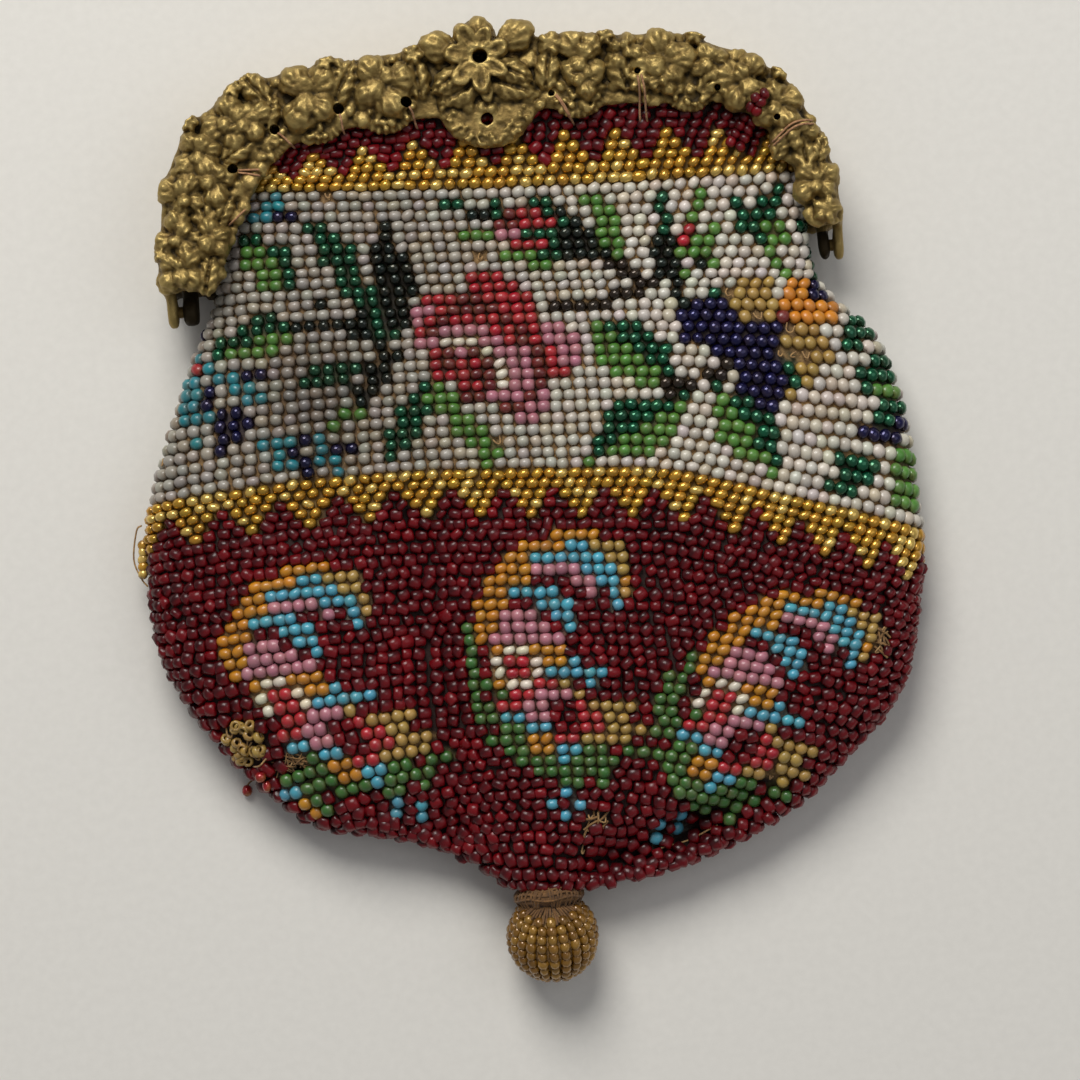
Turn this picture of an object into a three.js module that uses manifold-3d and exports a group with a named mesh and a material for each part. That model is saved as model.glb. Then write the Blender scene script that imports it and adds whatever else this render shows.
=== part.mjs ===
// A beaded coin purse lying on its back: a knitted pouch sewn into a cast brass clasp frame, with a
// ball hanging from its point. Millimetres, +Z up, +Y from the ball towards the frame.
import * as THREE from 'three';
import { mergeVertices } from 'three/addons/utils/BufferGeometryUtils.js';
import Module from 'manifold-3d';

const wasm = await Module();
wasm.setup();

// Driving sizes
const gap = 0.3; // between neighbouring pieces
const knitWall = 1.6; // beadwork, one bead thick
const mouthClear = 4.4; // between the two walls of the pouch at its mouth
const plateThick = 0.8; // face of a bow
const rimThick = 1.3; // outer wall of a bow
const reliefRise = 1.4; // highest petal over the face
const rowPitch = 1.32; // knit rows
const ballRadius = 5.65;
const ballCentre = { x: -2.0, y: -52.65 };
const collarLength = 0.5; // thread neck between the ball and the pouch
const collarRadius = { top: 2.3, foot: 2.6 };
const collarHeight = 5.45; // its axis over the table
const knobRadius = 2.4;
const knobX = -1.3;
const knobLift = 0.8; // its middle over the plane where the bows part
const pinRadius = 0.7;
const earRadius = 2.0;

// Heights of a bow, measured from the plane where the two bows part
const seam = gap / 2;
const plateUnder = mouthClear / 2 + knitWall + gap;
const plateTop = plateUnder + plateThick;
const frameMid = plateTop + reliefRise; // height of that plane over the table

// Outline of the pouch, one line for each knit row where it changes: where that row meets the left
// edge, the middle and the right edge
const pouchOutline = [
  { row: -8, leftX: -30.0, leftY: 44.5, midX: 0.7, midY: 47.2, rightX: 33.3, rightY: 43.6 },
  { row: -4, leftX: -31.2, leftY: 42.0, midX: 1.2, midY: 42.0, rightX: 35.0, rightY: 39.8 },
  { row: 0, leftX: -32.0, leftY: 39.5, midX: 1.6, midY: 36.8, rightX: 36.2, rightY: 35.8 },
  { row: 7, leftX: -34.9, leftY: 30.0, midX: 1.7, midY: 27.9, rightX: 36.7, rightY: 25.2 },
  { row: 10, leftX: -36.2, leftY: 26.0, midX: 1.8, midY: 24.2, rightX: 38.7, rightY: 21.4 },
  { row: 13, leftX: -38.3, leftY: 22.2, midX: 1.9, midY: 20.3, rightX: 43.4, rightY: 16.4 },
  { row: 25, leftX: -45.7, leftY: 4.2, midX: 1.0, midY: 4.1, rightX: 46.9, rightY: -6.9 },
  { row: 31, leftX: -46.8, leftY: -3.0, midX: 1.0, midY: -3.1, rightX: 46.3, rightY: -15.1 },
  { row: 42, leftX: -44.8, leftY: -18.8, midX: 0.6, midY: -18.1, rightX: 41.9, rightY: -27.9 },
  { row: 53, leftX: -30.9, leftY: -36.0, midX: 0.2, midY: -32.6, rightX: 27.7, rightY: -40.5 },
  { row: 60, leftX: -14.5, leftY: -40.9, midX: -0.6, midY: -41.5, rightX: 13.9, rightY: -46.1 },
  { row: 62.6, leftX: -8.8, leftY: -45.0, midX: -1.6, midY: -45.2, rightX: 7.5, rightY: -46.4 },
  { row: 64, leftX: -2.2, leftY: -45.9, midX: -2.2, midY: -45.9, rightX: -2.2, rightY: -45.9 },
];
const mouthRow = pouchOutline[0].row;
const pointRow = pouchOutline.at(-1).row;

// Heights of the lower wall, the edges and the upper wall at the same rows, and how square they are
const pouchHeights = [
  { row: -8, floor: 2.5, edge: 6.3, crown: 10.1, square: 7 },
  { row: -4, floor: 2.5, edge: 6.3, crown: 10.1, square: 5 },
  { row: 0, floor: 2.0, edge: 6.3, crown: 10.4, square: 4 },
  { row: 7, floor: 0.7, edge: 5.8, crown: 10.8, square: 3.4 },
  { row: 10, floor: 0.2, edge: 5.4, crown: 11.0, square: 3.2 },
  { row: 13, floor: 0, edge: 5.2, crown: 11.3, square: 3 },
  { row: 25, floor: 0, edge: 5.0, crown: 12.0, square: 3 },
  { row: 31, floor: 0, edge: 5.0, crown: 12.4, square: 3 },
  { row: 42, floor: 0, edge: 5.0, crown: 12.4, square: 2.8 },
  { row: 53, floor: 0, edge: 4.6, crown: 10.8, square: 2.6 },
  { row: 60, floor: 0.6, edge: 4.6, crown: 8.6, square: 2.4 },
  { row: 62.6, floor: 1.8, edge: 4.9, crown: 7.4, square: 2.2 },
  { row: 64, floor: 5.3, edge: 5.3, crown: 5.3, square: 2 },
];

// Soft creases and swellings of the upper wall, each along a line, with its half width and its rise
const pouchFolds = [
  { name: 'left shoulder crease', x0: -13.9, y0: 25.4, x1: -23.7, y1: 3.4, wide: 3.2, rise: -1.3 },
  { name: 'left gore', x0: -14.1, y0: -3.5, x1: -12.6, y1: -39.8, wide: 3.6, rise: -1.8 },
  { name: 'right gore', x0: 14.3, y0: -8.5, x1: 9.5, y1: -40.0, wide: 4.0, rise: -1.2 },
  { name: 'lip crease, near the point', x0: 3.2, y0: -44.6, x1: 15.5, y1: -41.8, wide: 2.2, rise: -4.2 },
  { name: 'lip crease, outwards', x0: 15.5, y0: -41.8, x1: 25.5, y1: -38.2, wide: 2.2, rise: -4.2 },
  { name: 'lower left tuck', x0: -38.0, y0: -27.9, x1: -14.3, y1: -38.5, wide: 2.5, rise: -1.5 },
  { name: 'left lobe', x0: -31.0, y0: -10.0, x1: -24.0, y1: -28.0, wide: 6.5, rise: 1.0 },
  { name: 'middle lobe', x0: 0.5, y0: -10.0, x1: 0.0, y1: -30.0, wide: 6.5, rise: 0.8 },
  { name: 'right lobe', x0: 28.0, y0: -16.0, x1: 20.0, y1: -32.0, wide: 6.5, rise: 0.8 },
];
const pouchRing = 40;
const outerSteps = 26;
const innerSteps = 11;
const crowding = 1.35; // brings the rings closer together towards the gathered point

// The arch of a bow from its left end to its right end: outer edge and inner edge at each station
const archStations = [
  { at: 0, outerX: -41.9, outerY: 28.6, innerX: -35.0, innerY: 28.6 },
  { at: 1, outerX: -41.1, outerY: 35.0, innerX: -32.4, innerY: 34.2 },
  { at: 2, outerX: -39.9, outerY: 41.4, innerX: -28.9, innerY: 39.9 },
  { at: 3, outerX: -36.2, outerY: 48.0, innerX: -25.5, innerY: 43.8 },
  { at: 4, outerX: -28.0, outerY: 53.0, innerX: -20.0, innerY: 45.6 },
  { at: 5, outerX: -15.0, outerY: 54.6, innerX: -11.5, innerY: 46.2 },
  { at: 6, outerX: -1.2, outerY: 55.5, innerX: -1.0, innerY: 46.2 },
  { at: 7, outerX: 11.5, outerY: 55.2, innerX: 10.0, innerY: 46.0 },
  { at: 8, outerX: 22.0, outerY: 54.2, innerX: 20.0, innerY: 45.6 },
  { at: 9, outerX: 32.0, outerY: 49.8, innerX: 28.9, innerY: 44.9 },
  { at: 10, outerX: 37.0, outerY: 43.5, innerX: 32.2, innerY: 41.4 },
  { at: 11, outerX: 39.6, outerY: 36.5, innerX: 35.0, innerY: 36.4 },
  { at: 12, outerX: 40.5, outerY: 29.6, innerX: 36.6, innerY: 29.6 },
];
const stepsPerStation = 3;

// Raised ornament of a bow: its kind, middle, outer radius and turn in degrees
const ornaments = [
  { kind: 'medallion', x: -0.7, y: 48.3, size: 6.2, turn: 0 },
  { kind: 'rosette', x: -1.2, y: 52.9, size: 4.4, turn: 10 },
  { kind: 'leaf', x: -5.6, y: 52.9, size: 3.0, turn: 170 },
  { kind: 'leaf', x: 4.0, y: 53.6, size: 3.2, turn: 20 },
  { kind: 'leaf', x: -4.6, y: 49.4, size: 2.6, turn: 50 },
  { kind: 'leaf', x: 3.0, y: 48.9, size: 2.6, turn: 125 },
  { kind: 'rose', x: -13.6, y: 52.6, size: 3.6, turn: 20 },
  { kind: 'lobe', x: -12.9, y: 49.0, size: 3.9, turn: 0 },
  { kind: 'leaf', x: -17.2, y: 51.7, size: 2.7, turn: 60 },
  { kind: 'bud', x: -19.2, y: 53.5, size: 1.4, turn: 0 },
  { kind: 'rose', x: -23.8, y: 52.6, size: 3.6, turn: 50 },
  { kind: 'lobe', x: -21.1, y: 48.4, size: 3.7, turn: 0 },
  { kind: 'leaf', x: -28.6, y: 51.8, size: 2.4, turn: 130 },
  { kind: 'bud', x: -29.0, y: 48.2, size: 2.0, turn: 0 },
  { kind: 'rose', x: -33.4, y: 49.4, size: 3.1, turn: 10 },
  { kind: 'rose', x: -37.0, y: 45.4, size: 2.6, turn: 40 },
  { kind: 'daisy', x: -34.2, y: 41.6, size: 3.2, turn: 0 },
  { kind: 'rose', x: -39.0, y: 40.0, size: 2.5, turn: 70 },
  { kind: 'leaf', x: -35.6, y: 37.2, size: 2.5, turn: 100 },
  { kind: 'rose', x: -39.3, y: 34.9, size: 2.5, turn: 15 },
  { kind: 'daisy', x: -34.8, y: 33.6, size: 2.8, turn: 25 },
  { kind: 'rose', x: -39.4, y: 30.9, size: 2.3, turn: 55 },
  { kind: 'leaf', x: -36.2, y: 30.4, size: 2.2, turn: 75 },
  { kind: 'bud', x: 7.4, y: 53.4, size: 1.7, turn: 0 },
  { kind: 'rose', x: 11.2, y: 53.0, size: 3.0, turn: 35 },
  { kind: 'daisy', x: 10.4, y: 49.6, size: 2.7, turn: 0 },
  { kind: 'lobe', x: 10.1, y: 48.2, size: 3.2, turn: 0 },
  { kind: 'leaf', x: 15.2, y: 50.2, size: 2.6, turn: 110 },
  { kind: 'bud', x: 16.4, y: 53.2, size: 1.6, turn: 0 },
  { kind: 'rose', x: 21.0, y: 51.8, size: 3.4, turn: 5 },
  { kind: 'bud', x: 17.6, y: 47.6, size: 1.8, turn: 0 },
  { kind: 'lobe', x: 23.4, y: 47.6, size: 3.0, turn: 0 },
  { kind: 'leaf', x: 26.4, y: 48.6, size: 2.5, turn: 45 },
  { kind: 'bud', x: 26.6, y: 51.6, size: 1.8, turn: 0 },
  { kind: 'rose', x: 31.2, y: 48.8, size: 2.9, turn: 60 },
  { kind: 'rose', x: 34.8, y: 45.0, size: 2.5, turn: 25 },
  { kind: 'rose', x: 36.6, y: 41.0, size: 2.5, turn: 0 },
  { kind: 'leaf', x: 36.6, y: 37.6, size: 2.3, turn: 95 },
  { kind: 'rose', x: 38.0, y: 34.4, size: 2.4, turn: 45 },
  { kind: 'bud', x: 38.4, y: 31.3, size: 1.9, turn: 0 },
];

// Petals of each kind of flower: how many, and how deep the notches between them are cut
const flowerForms = {
  rose: { petals: 5, notch: 0.3 },
  daisy: { petals: 6, notch: 0.45 },
  rosette: { petals: 8, notch: 0.4 },
};

// Levels of a flower from its base to the tops of its petals: share of its rise and of its radius
const flowerLevels = [
  { rise: 0.0, spread: 1.0 },
  { rise: 0.72, spread: 0.84 },
];

// Sewing holes through the face, and the two larger ones in the rosette and the medallion
const sewingHoles = [
  { x: -1.1, y: 53.0, radius: 0.85 },
  { x: -0.9, y: 45.6, radius: 0.7 },
  { x: -10.3, y: 48.4, radius: 0.65 },
  { x: -18.4, y: 48.4, radius: 0.65 },
  { x: -26.2, y: 46.6, radius: 0.6 },
  { x: -31.6, y: 42.4, radius: 0.6 },
  { x: 7.0, y: 48.0, radius: 0.6 },
  { x: 17.4, y: 49.6, radius: 0.6 },
  { x: 26.7, y: 46.8, radius: 0.6 },
  { x: 33.4, y: 42.6, radius: 0.6 },
];

// The two hinges: where the bows end, and the faces across of each bow's ear and of the pin
const hinges = [
  {
    name: 'left',
    bowEnd: 28.6,
    frontEar: { from: -41.3, to: -40.0 },
    backEar: { from: -39.5, to: -37.5 },
    pin: { from: -41.2, to: -37.6 },
  },
  {
    name: 'right',
    bowEnd: 29.6,
    frontEar: { from: 39.2, to: 40.4 },
    backEar: { from: 37.4, to: 38.8 },
    pin: { from: 37.5, to: 40.3 },
  },
];
const pinBelowEnd = earRadius + gap;
const earRoot = 2.8; // how far an ear runs up into its bow

// Reads a column of a table at any place along its key, smoothly through the rows
function readTable(table, key, column, at) {
  const last = table.length - 2;
  const above = table.findIndex((row) => row[key] > at);
  const i = THREE.MathUtils.clamp(above < 0 ? last : above - 1, 0, last);
  const a = table[i];
  const b = table[i + 1];
  const before = table[Math.max(i - 1, 0)];
  const after = table[Math.min(i + 2, table.length - 1)];
  const span = b[key] - a[key];
  const t = THREE.MathUtils.clamp((at - a[key]) / span, 0, 1);
  const slopeA = (b[column] - before[column]) / (b[key] - before[key]);
  const slopeB = (after[column] - a[column]) / (after[key] - a[key]);
  const ease = t * t * (3 - 2 * t);
  const leaveA = t * (1 - t) * (1 - t) * span * slopeA;
  const reachB = t * t * (1 - t) * span * slopeB;
  return a[column] + ease * (b[column] - a[column]) + leaveA - reachB;
}

// Welds shared corners, drops collapsed triangles and turns the faces outwards
function sealed(geometry) {
  const bare = geometry.clone();
  bare.deleteAttribute('normal');
  bare.deleteAttribute('uv');
  const welded = mergeVertices(bare, 1e-3);
  const at = (i) => new THREE.Vector3().fromBufferAttribute(welded.attributes.position, i);
  const faces = [];
  let volume = 0;
  for (let i = 0; i < welded.index.count; i += 3) {
    const [a, b, c] = [0, 1, 2].map((k) => welded.index.getX(i + k));
    if (a === b || b === c || c === a) continue;
    faces.push([a, b, c]);
    volume += at(a).dot(at(b).cross(at(c)));
  }
  const turned = volume < 0 ? faces.map(([a, b, c]) => [a, c, b]) : faces;
  welded.setIndex(turned.flat());
  return welded;
}

function toSolid(geometry) {
  const closed = sealed(geometry);
  return new wasm.Manifold(new wasm.Mesh({
    numProp: 3,
    vertProperties: Float32Array.from(closed.attributes.position.array),
    triVerts: Uint32Array.from(closed.index.array),
  }));
}

function toGeometry(solid) {
  const mesh = solid.getMesh();
  const geometry = new THREE.BufferGeometry();
  geometry.setAttribute('position', new THREE.BufferAttribute(mesh.vertProperties, 3));
  geometry.setIndex(new THREE.BufferAttribute(mesh.triVerts, 1));
  geometry.computeVertexNormals();
  return geometry;
}

// A closed skin over rings of points, each ring joined to the next
function skinOver(rings) {
  const count = rings[0].length;
  const index = [];
  for (let r = 0; r + 1 < rings.length; r += 1) {
    for (let k = 0; k < count; k += 1) {
      const here = r * count + k;
      const beside = r * count + ((k + 1) % count);
      index.push(here, beside, beside + count, here, beside + count, here + count);
    }
  }
  const geometry = new THREE.BufferGeometry().setFromPoints(rings.flat());
  geometry.setIndex(index);
  return geometry;
}

function collapsed(ring) {
  const middle = ring.reduce((sum, p) => sum.add(p), new THREE.Vector3()).divideScalar(ring.length);
  return ring.map(() => middle);
}

// Height that the folds add to the upper wall at a place
function foldRise(x, y) {
  let rise = 0;
  for (const fold of pouchFolds) {
    const line = new THREE.Line3(
      new THREE.Vector3(fold.x0, fold.y0, 0),
      new THREE.Vector3(fold.x1, fold.y1, 0),
    );
    const place = new THREE.Vector3(x, y, 0);
    const away = line.closestPointToPoint(place, true, new THREE.Vector3()).distanceTo(place);
    rise += fold.rise * Math.exp(-((away / fold.wide) ** 2));
  }
  return rise;
}

// A ring of the pouch at a knit row, moved inwards by inset for the inside of the wall
function pouchRingAt(row, inset) {
  const read = (column) => readTable(pouchOutline, 'row', column, row);
  const height = (column) => readTable(pouchHeights, 'row', column, row);
  const left = new THREE.Vector2(read('leftX'), read('leftY'));
  const mid = new THREE.Vector2(read('midX'), read('midY'));
  const right = new THREE.Vector2(read('rightX'), read('rightY'));
  const half = right.clone().sub(left).divideScalar(2);
  const bow = left.clone().add(right).divideScalar(2).sub(mid);
  const narrow = Math.max(0, 1 - inset / Math.max(half.length(), inset));
  const floor = Math.max(0, height('floor')) + inset;
  const edge = height('edge');
  const power = 2 / height('square');
  const flatShare = 1.15; // the lower wall lies flat over most of its width
  return Array.from({ length: pouchRing }, (_, k) => {
    const angle = (2 * Math.PI * k) / pouchRing;
    const across = Math.sign(Math.cos(angle)) * Math.abs(Math.cos(angle)) ** power * narrow;
    const lift = Math.abs(Math.sin(angle)) ** power;
    const x = mid.x + across * half.x + across * across * bow.x;
    const y = mid.y + across * half.y + across * across * bow.y;
    const top = height('crown') + lift * foldRise(x, y) - inset;
    const upper = edge + lift * (top - edge);
    const lower = edge - Math.min(1, lift * flatShare) * (edge - floor);
    return new THREE.Vector3(x, y, Math.sin(angle) >= 0 ? upper : lower);
  });
}

// The knitted wall: the outside from the point up to the mouth, then the inside back down
function makePouch() {
  const blunt = 1.6 * knitWall; // the inside stops short of the gathered point
  const innerPoint = pointRow - blunt / rowPitch;
  const rings = [];
  for (let i = 0; i <= outerSteps; i += 1) {
    const share = (i / outerSteps) ** crowding;
    rings.push(pouchRingAt(THREE.MathUtils.lerp(pointRow, mouthRow, share), 0));
  }
  for (let i = innerSteps; i >= 0; i -= 1) {
    const share = (i / innerSteps) ** crowding;
    rings.push(pouchRingAt(THREE.MathUtils.lerp(innerPoint, mouthRow, share), knitWall));
  }
  rings.push(collapsed(rings.at(-1)));
  return sealed(skinOver(rings));
}

// The bow's channel section, from the seam over the rim and the face to the inner edge
function channelSection(width) {
  const soften = 0.5;
  return [
    [0, seam],
    [0, plateTop - soften],
    [soften, plateTop],
    [width - soften, plateTop],
    [width, plateTop - soften],
    [width, plateUnder],
    [rimThick, plateUnder],
    [rimThick, seam],
  ];
}

function makeBand() {
  const steps = (archStations.length - 1) * stepsPerStation;
  const rings = [];
  let section;
  for (let i = 0; i <= steps; i += 1) {
    const read = (column) => readTable(archStations, 'at', column, i / stepsPerStation);
    const outer = new THREE.Vector3(read('outerX'), read('outerY'), 0);
    const inward = new THREE.Vector3(read('innerX'), read('innerY'), 0).sub(outer);
    section = channelSection(inward.length());
    inward.normalize();
    rings.push(section.map(([across, z]) => outer.clone().addScaledVector(inward, across).setZ(z)));
  }
  const band = skinOver(rings);
  const corners = section.map(([across, z]) => new THREE.Vector2(across, z));
  const cap = THREE.ShapeUtils.triangulateShape(corners, []);
  const lastRing = steps * section.length;
  const skin = Array.from(band.index.array);
  // The caps close the first and the last section, each turned to suit the skin beside it
  const endCap = cap.map(([a, b, c]) => [lastRing + a, lastRing + c, lastRing + b]);
  band.setIndex([...skin, ...cap.flat(), ...endCap.flat()]);
  return toSolid(band);
}

// A low dome with a flat base, the form of each petal, bud and leaf
const domeProfile = [[0, 0], [1, 0], [0.78, 0.62], [0, 1]].map(([r, z]) => new THREE.Vector2(r, z));
const domeSides = 6;
const domeBase = plateUnder + 0.3 * plateThick; // ornament is rooted inside the face

function makeDome(x, y, long, wide, rise, turn) {
  const dome = new THREE.LatheGeometry(domeProfile, domeSides);
  dome.rotateX(Math.PI / 2);
  dome.scale(long, wide, plateTop - domeBase + rise);
  dome.rotateZ(turn);
  dome.translate(x, y, domeBase);
  return toSolid(dome);
}

function makeDisc(x, y, radius) {
  const sides = 14;
  const disc = new THREE.CylinderGeometry(radius, radius, plateThick, sides);
  disc.rotateX(Math.PI / 2);
  disc.translate(x, y, plateUnder + plateThick / 2);
  return toSolid(disc);
}

// A flower as one skin: scalloped rings from the base over the petals to a raised heart
function makeFlower({ kind, x, y, size, turn }) {
  const { petals, notch } = flowerForms[kind];
  const corners = [-0.5, -0.22, 0.22]; // notch and two shoulders, as shares of a petal
  const height = plateTop + reliefRise - domeBase;
  const rings = flowerLevels.map(({ rise, spread }) => Array.from({ length: petals * 3 }, (_, k) => {
    const corner = corners[k % 3];
    const share = (Math.floor(k / 3) + corner) / petals;
    const angle = THREE.MathUtils.degToRad(turn) + 2 * Math.PI * share;
    const inNotch = corner === -0.5 ? 1 - notch : 1;
    const radius = size * spread * inNotch;
    const z = domeBase + height * rise * inNotch;
    return new THREE.Vector3(x + radius * Math.cos(angle), y + radius * Math.sin(angle), z);
  }));
  const heart = rings[0].map(() => new THREE.Vector3(x, y, domeBase + height));
  return toSolid(skinOver([collapsed(rings[0]), ...rings, heart]));
}

function makeOrnament(ornament) {
  const { kind, x, y, size } = ornament;
  const turn = THREE.MathUtils.degToRad(ornament.turn);
  if (kind === 'medallion' || kind === 'lobe') return makeDisc(x, y, size);
  if (kind === 'leaf') return makeDome(x, y, size, size * 0.5, reliefRise * 0.6, turn);
  if (kind === 'bud') return makeDome(x, y, size, size, reliefRise * 0.8, turn);
  return makeFlower(ornament);
}

function makeSewingHole({ x, y, radius }) {
  const sides = 8;
  const depth = 2 * (plateThick + reliefRise);
  const drill = new THREE.CylinderGeometry(radius, radius, depth, sides);
  drill.rotateX(Math.PI / 2);
  drill.translate(x, y, plateTop);
  return toSolid(drill);
}

// An ear of the hinge, a flat plate with a round end about the pin, between two faces across
function makeEar(hinge, { from, to }) {
  const rootTop = plateUnder + plateThick / 2;
  const rootFoot = pinBelowEnd + plateThick / 2;
  const outline = new THREE.Shape();
  outline.moveTo(pinBelowEnd + earRoot, seam);
  outline.lineTo(pinBelowEnd + earRoot, rootTop);
  outline.lineTo(rootFoot, rootTop);
  outline.lineTo(rootFoot, earRadius);
  outline.lineTo(0, earRadius);
  outline.absarc(0, 0, earRadius, Math.PI / 2, 2 * Math.PI + Math.asin(seam / earRadius), false);
  const bore = new THREE.Path();
  bore.absarc(0, 0, pinRadius + gap, 0, 2 * Math.PI, true);
  outline.holes.push(bore);
  const ear = new THREE.ExtrudeGeometry(outline, {
    depth: to - from,
    bevelEnabled: false,
    curveSegments: 7,
  });
  const along = new THREE.Vector3(0, 1, 0);
  const up = new THREE.Vector3(0, 0, 1);
  const sideways = new THREE.Vector3(1, 0, 0);
  ear.applyMatrix4(new THREE.Matrix4().makeBasis(along, up, sideways));
  ear.translate(from, hinge.bowEnd - pinBelowEnd, 0);
  return toSolid(ear);
}

// A whole bow in front of the parting plane, with the ears that belong to it
function makeBow(earName) {
  const ornament = ornaments.map(makeOrnament);
  const ears = hinges.map((hinge) => makeEar(hinge, hinge[earName]));
  const whole = wasm.Manifold.union([makeBand(), ...ornament, ...ears]);
  const holes = wasm.Manifold.union(sewingHoles.map(makeSewingHole));
  return toGeometry(whole.subtract(holes));
}

// The same casting seen from the other side of the parting plane
function turnedOver(geometry) {
  const other = geometry.clone();
  other.scale(1, 1, -1);
  return sealed(other);
}

function makePin({ pin: { from, to } }) {
  const pin = new THREE.CylinderGeometry(pinRadius, pinRadius, to - from, 12);
  pin.rotateZ(Math.PI / 2);
  return pin;
}

// A half ball whose flat side faces the rim of the bows
function makeKnob() {
  const arc = new THREE.EllipseCurve(0, 0, knobRadius, knobRadius, 0, Math.PI / 2);
  const profile = [new THREE.Vector2(0, 0), ...arc.getPoints(4)];
  return sealed(new THREE.LatheGeometry(profile, 12));
}

const brass = { color: 0x7d6937, roughness: 0.45, metalness: 0.9 };
const knit = { color: 0x7a3436, roughness: 0.4, metalness: 0.0 };
const thread = { color: 0xa5824b, roughness: 0.8, metalness: 0.0 };

const purse = new THREE.Group();

function addPiece(name, geometry, finish, place = [0, 0, 0]) {
  const piece = new THREE.Mesh(geometry, new THREE.MeshStandardMaterial(finish));
  piece.name = name;
  piece.position.set(...place);
  purse.add(piece);
}

const archTop = Math.max(...archStations.map((station) => station.outerY));
const ballTop = ballCentre.y + ballRadius;
const ball = new THREE.SphereGeometry(ballRadius, 14, 9);
const collar = new THREE.CylinderGeometry(collarRadius.top, collarRadius.foot, collarLength, 14);

addPiece('pouch', makePouch(), knit);
addPiece('front_bow', makeBow('frontEar'), brass, [0, 0, frameMid]);
addPiece('back_bow', turnedOver(makeBow('backEar')), brass, [0, 0, frameMid]);
for (const hinge of hinges) {
  const place = [(hinge.pin.from + hinge.pin.to) / 2, hinge.bowEnd - pinBelowEnd, frameMid];
  addPiece(`${hinge.name}_hinge_pin`, makePin(hinge), brass, place);
}
addPiece('clasp_knob', makeKnob(), brass, [knobX, archTop + gap, frameMid + knobLift]);
addPiece('drop_ball', ball, thread, [ballCentre.x, ballCentre.y, ballRadius]);
addPiece('drop_collar', collar, thread, [ballCentre.x, ballTop + gap + collarLength / 2, collarHeight]);

export default purse;
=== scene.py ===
import math
import bpy
import bmesh
import numpy as np
from mathutils import Matrix, Vector
from mathutils.bvhtree import BVHTree
from mathutils.kdtree import KDTree


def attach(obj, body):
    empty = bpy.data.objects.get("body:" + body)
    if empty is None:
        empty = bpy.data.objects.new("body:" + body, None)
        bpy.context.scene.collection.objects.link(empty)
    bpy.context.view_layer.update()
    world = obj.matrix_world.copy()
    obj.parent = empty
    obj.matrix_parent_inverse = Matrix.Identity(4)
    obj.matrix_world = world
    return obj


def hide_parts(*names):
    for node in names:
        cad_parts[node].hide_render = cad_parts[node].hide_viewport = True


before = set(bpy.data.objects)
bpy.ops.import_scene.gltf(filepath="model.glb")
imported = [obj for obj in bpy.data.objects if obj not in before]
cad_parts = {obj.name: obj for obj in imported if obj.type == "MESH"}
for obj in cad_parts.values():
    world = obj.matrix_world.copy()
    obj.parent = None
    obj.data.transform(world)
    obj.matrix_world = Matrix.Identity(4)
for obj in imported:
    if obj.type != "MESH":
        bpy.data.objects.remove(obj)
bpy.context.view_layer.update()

mm = 0.001
dice = np.random.default_rng(64)
scene = bpy.context.scene
print("frame loaded,", len(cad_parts), "nodes")


# small helpers: lengths come in millimetres, meshes are made in metres
def makeMesh(name, points, faces):
    mesh = bpy.data.meshes.new(name)
    mesh.from_pydata((np.asarray(points, float) * mm).tolist(), [], [list(f) for f in faces])
    shadeSmooth(mesh)
    mesh.update()
    return mesh


def shadeSmooth(mesh):
    mesh.polygons.foreach_set("use_smooth", [True] * len(mesh.polygons))


def linkObject(name, mesh):
    thing = bpy.data.objects.new(name, mesh)
    scene.collection.objects.link(thing)
    return thing


def finishPiece(piece, nodes=()):
    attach(piece, "root")
    if nodes:
        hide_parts(*nodes)
    return piece


def putAttribute(mesh, name, kind, values):
    layer = mesh.attributes.new(name, kind, "POINT")
    field = {"FLOAT": "value", "FLOAT_VECTOR": "vector", "FLOAT_COLOR": "color"}[kind]
    layer.data.foreach_set(field, np.ascontiguousarray(values, np.float32).ravel())


def pointsOf(mesh):
    flat = np.empty(len(mesh.vertices) * 3, np.float32)
    mesh.vertices.foreach_get("co", flat)
    return flat.reshape(-1, 3) / mm


def dropObject(thing):
    mesh = thing.data
    bpy.data.objects.remove(thing)
    bpy.data.meshes.remove(mesh)


def plainMesh(thing):
    depsgraph = bpy.context.evaluated_depsgraph_get()
    return bpy.data.meshes.new_from_object(thing.evaluated_get(depsgraph), depsgraph=depsgraph)


def linear(tint):
    # screen colour from 0 to 255, made linear
    c = np.asarray(tint, float) / 255
    return np.where(c <= 0.04045, c / 12.92, ((c + 0.055) / 1.055) ** 2.4)


def unit(v):
    return v / np.maximum(np.linalg.norm(v, axis=-1, keepdims=True), 1e-9)


# node helpers
def newTree(name, inputs):
    tree = bpy.data.node_groups.new(name, "GeometryNodeTree")
    for label, kind in inputs.items():
        tree.interface.new_socket(label, in_out="INPUT", socket_type="NodeSocket" + kind)
    tree.interface.new_socket("Geometry", in_out="OUTPUT", socket_type="NodeSocketGeometry")
    start, end = tree.nodes.new("NodeGroupInput"), tree.nodes.new("NodeGroupOutput")
    return tree, tree.nodes, tree.links, start, end


def newMaterial(name):
    material = bpy.data.materials.new(name)
    material.use_nodes = True
    nodes, links = material.node_tree.nodes, material.node_tree.links
    return material, nodes, links, nodes["Principled BSDF"]


def addNode(nodes, kind, settings=None, **inputs):
    node = nodes.new(kind)
    for key, value in (settings or {}).items():
        setattr(node, key, value)
    for key, value in inputs.items():
        node.inputs[key].default_value = value
    return node


def addRamp(nodes, stops):
    node = nodes.new("ShaderNodeValToRGB")
    ramp = node.color_ramp
    while len(ramp.elements) < len(stops):
        ramp.elements.new(0.5)
    for element, (place, tint) in zip(ramp.elements, stops):
        element.position = place
        element.color = (*linear(tint), 1)
    return node


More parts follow.
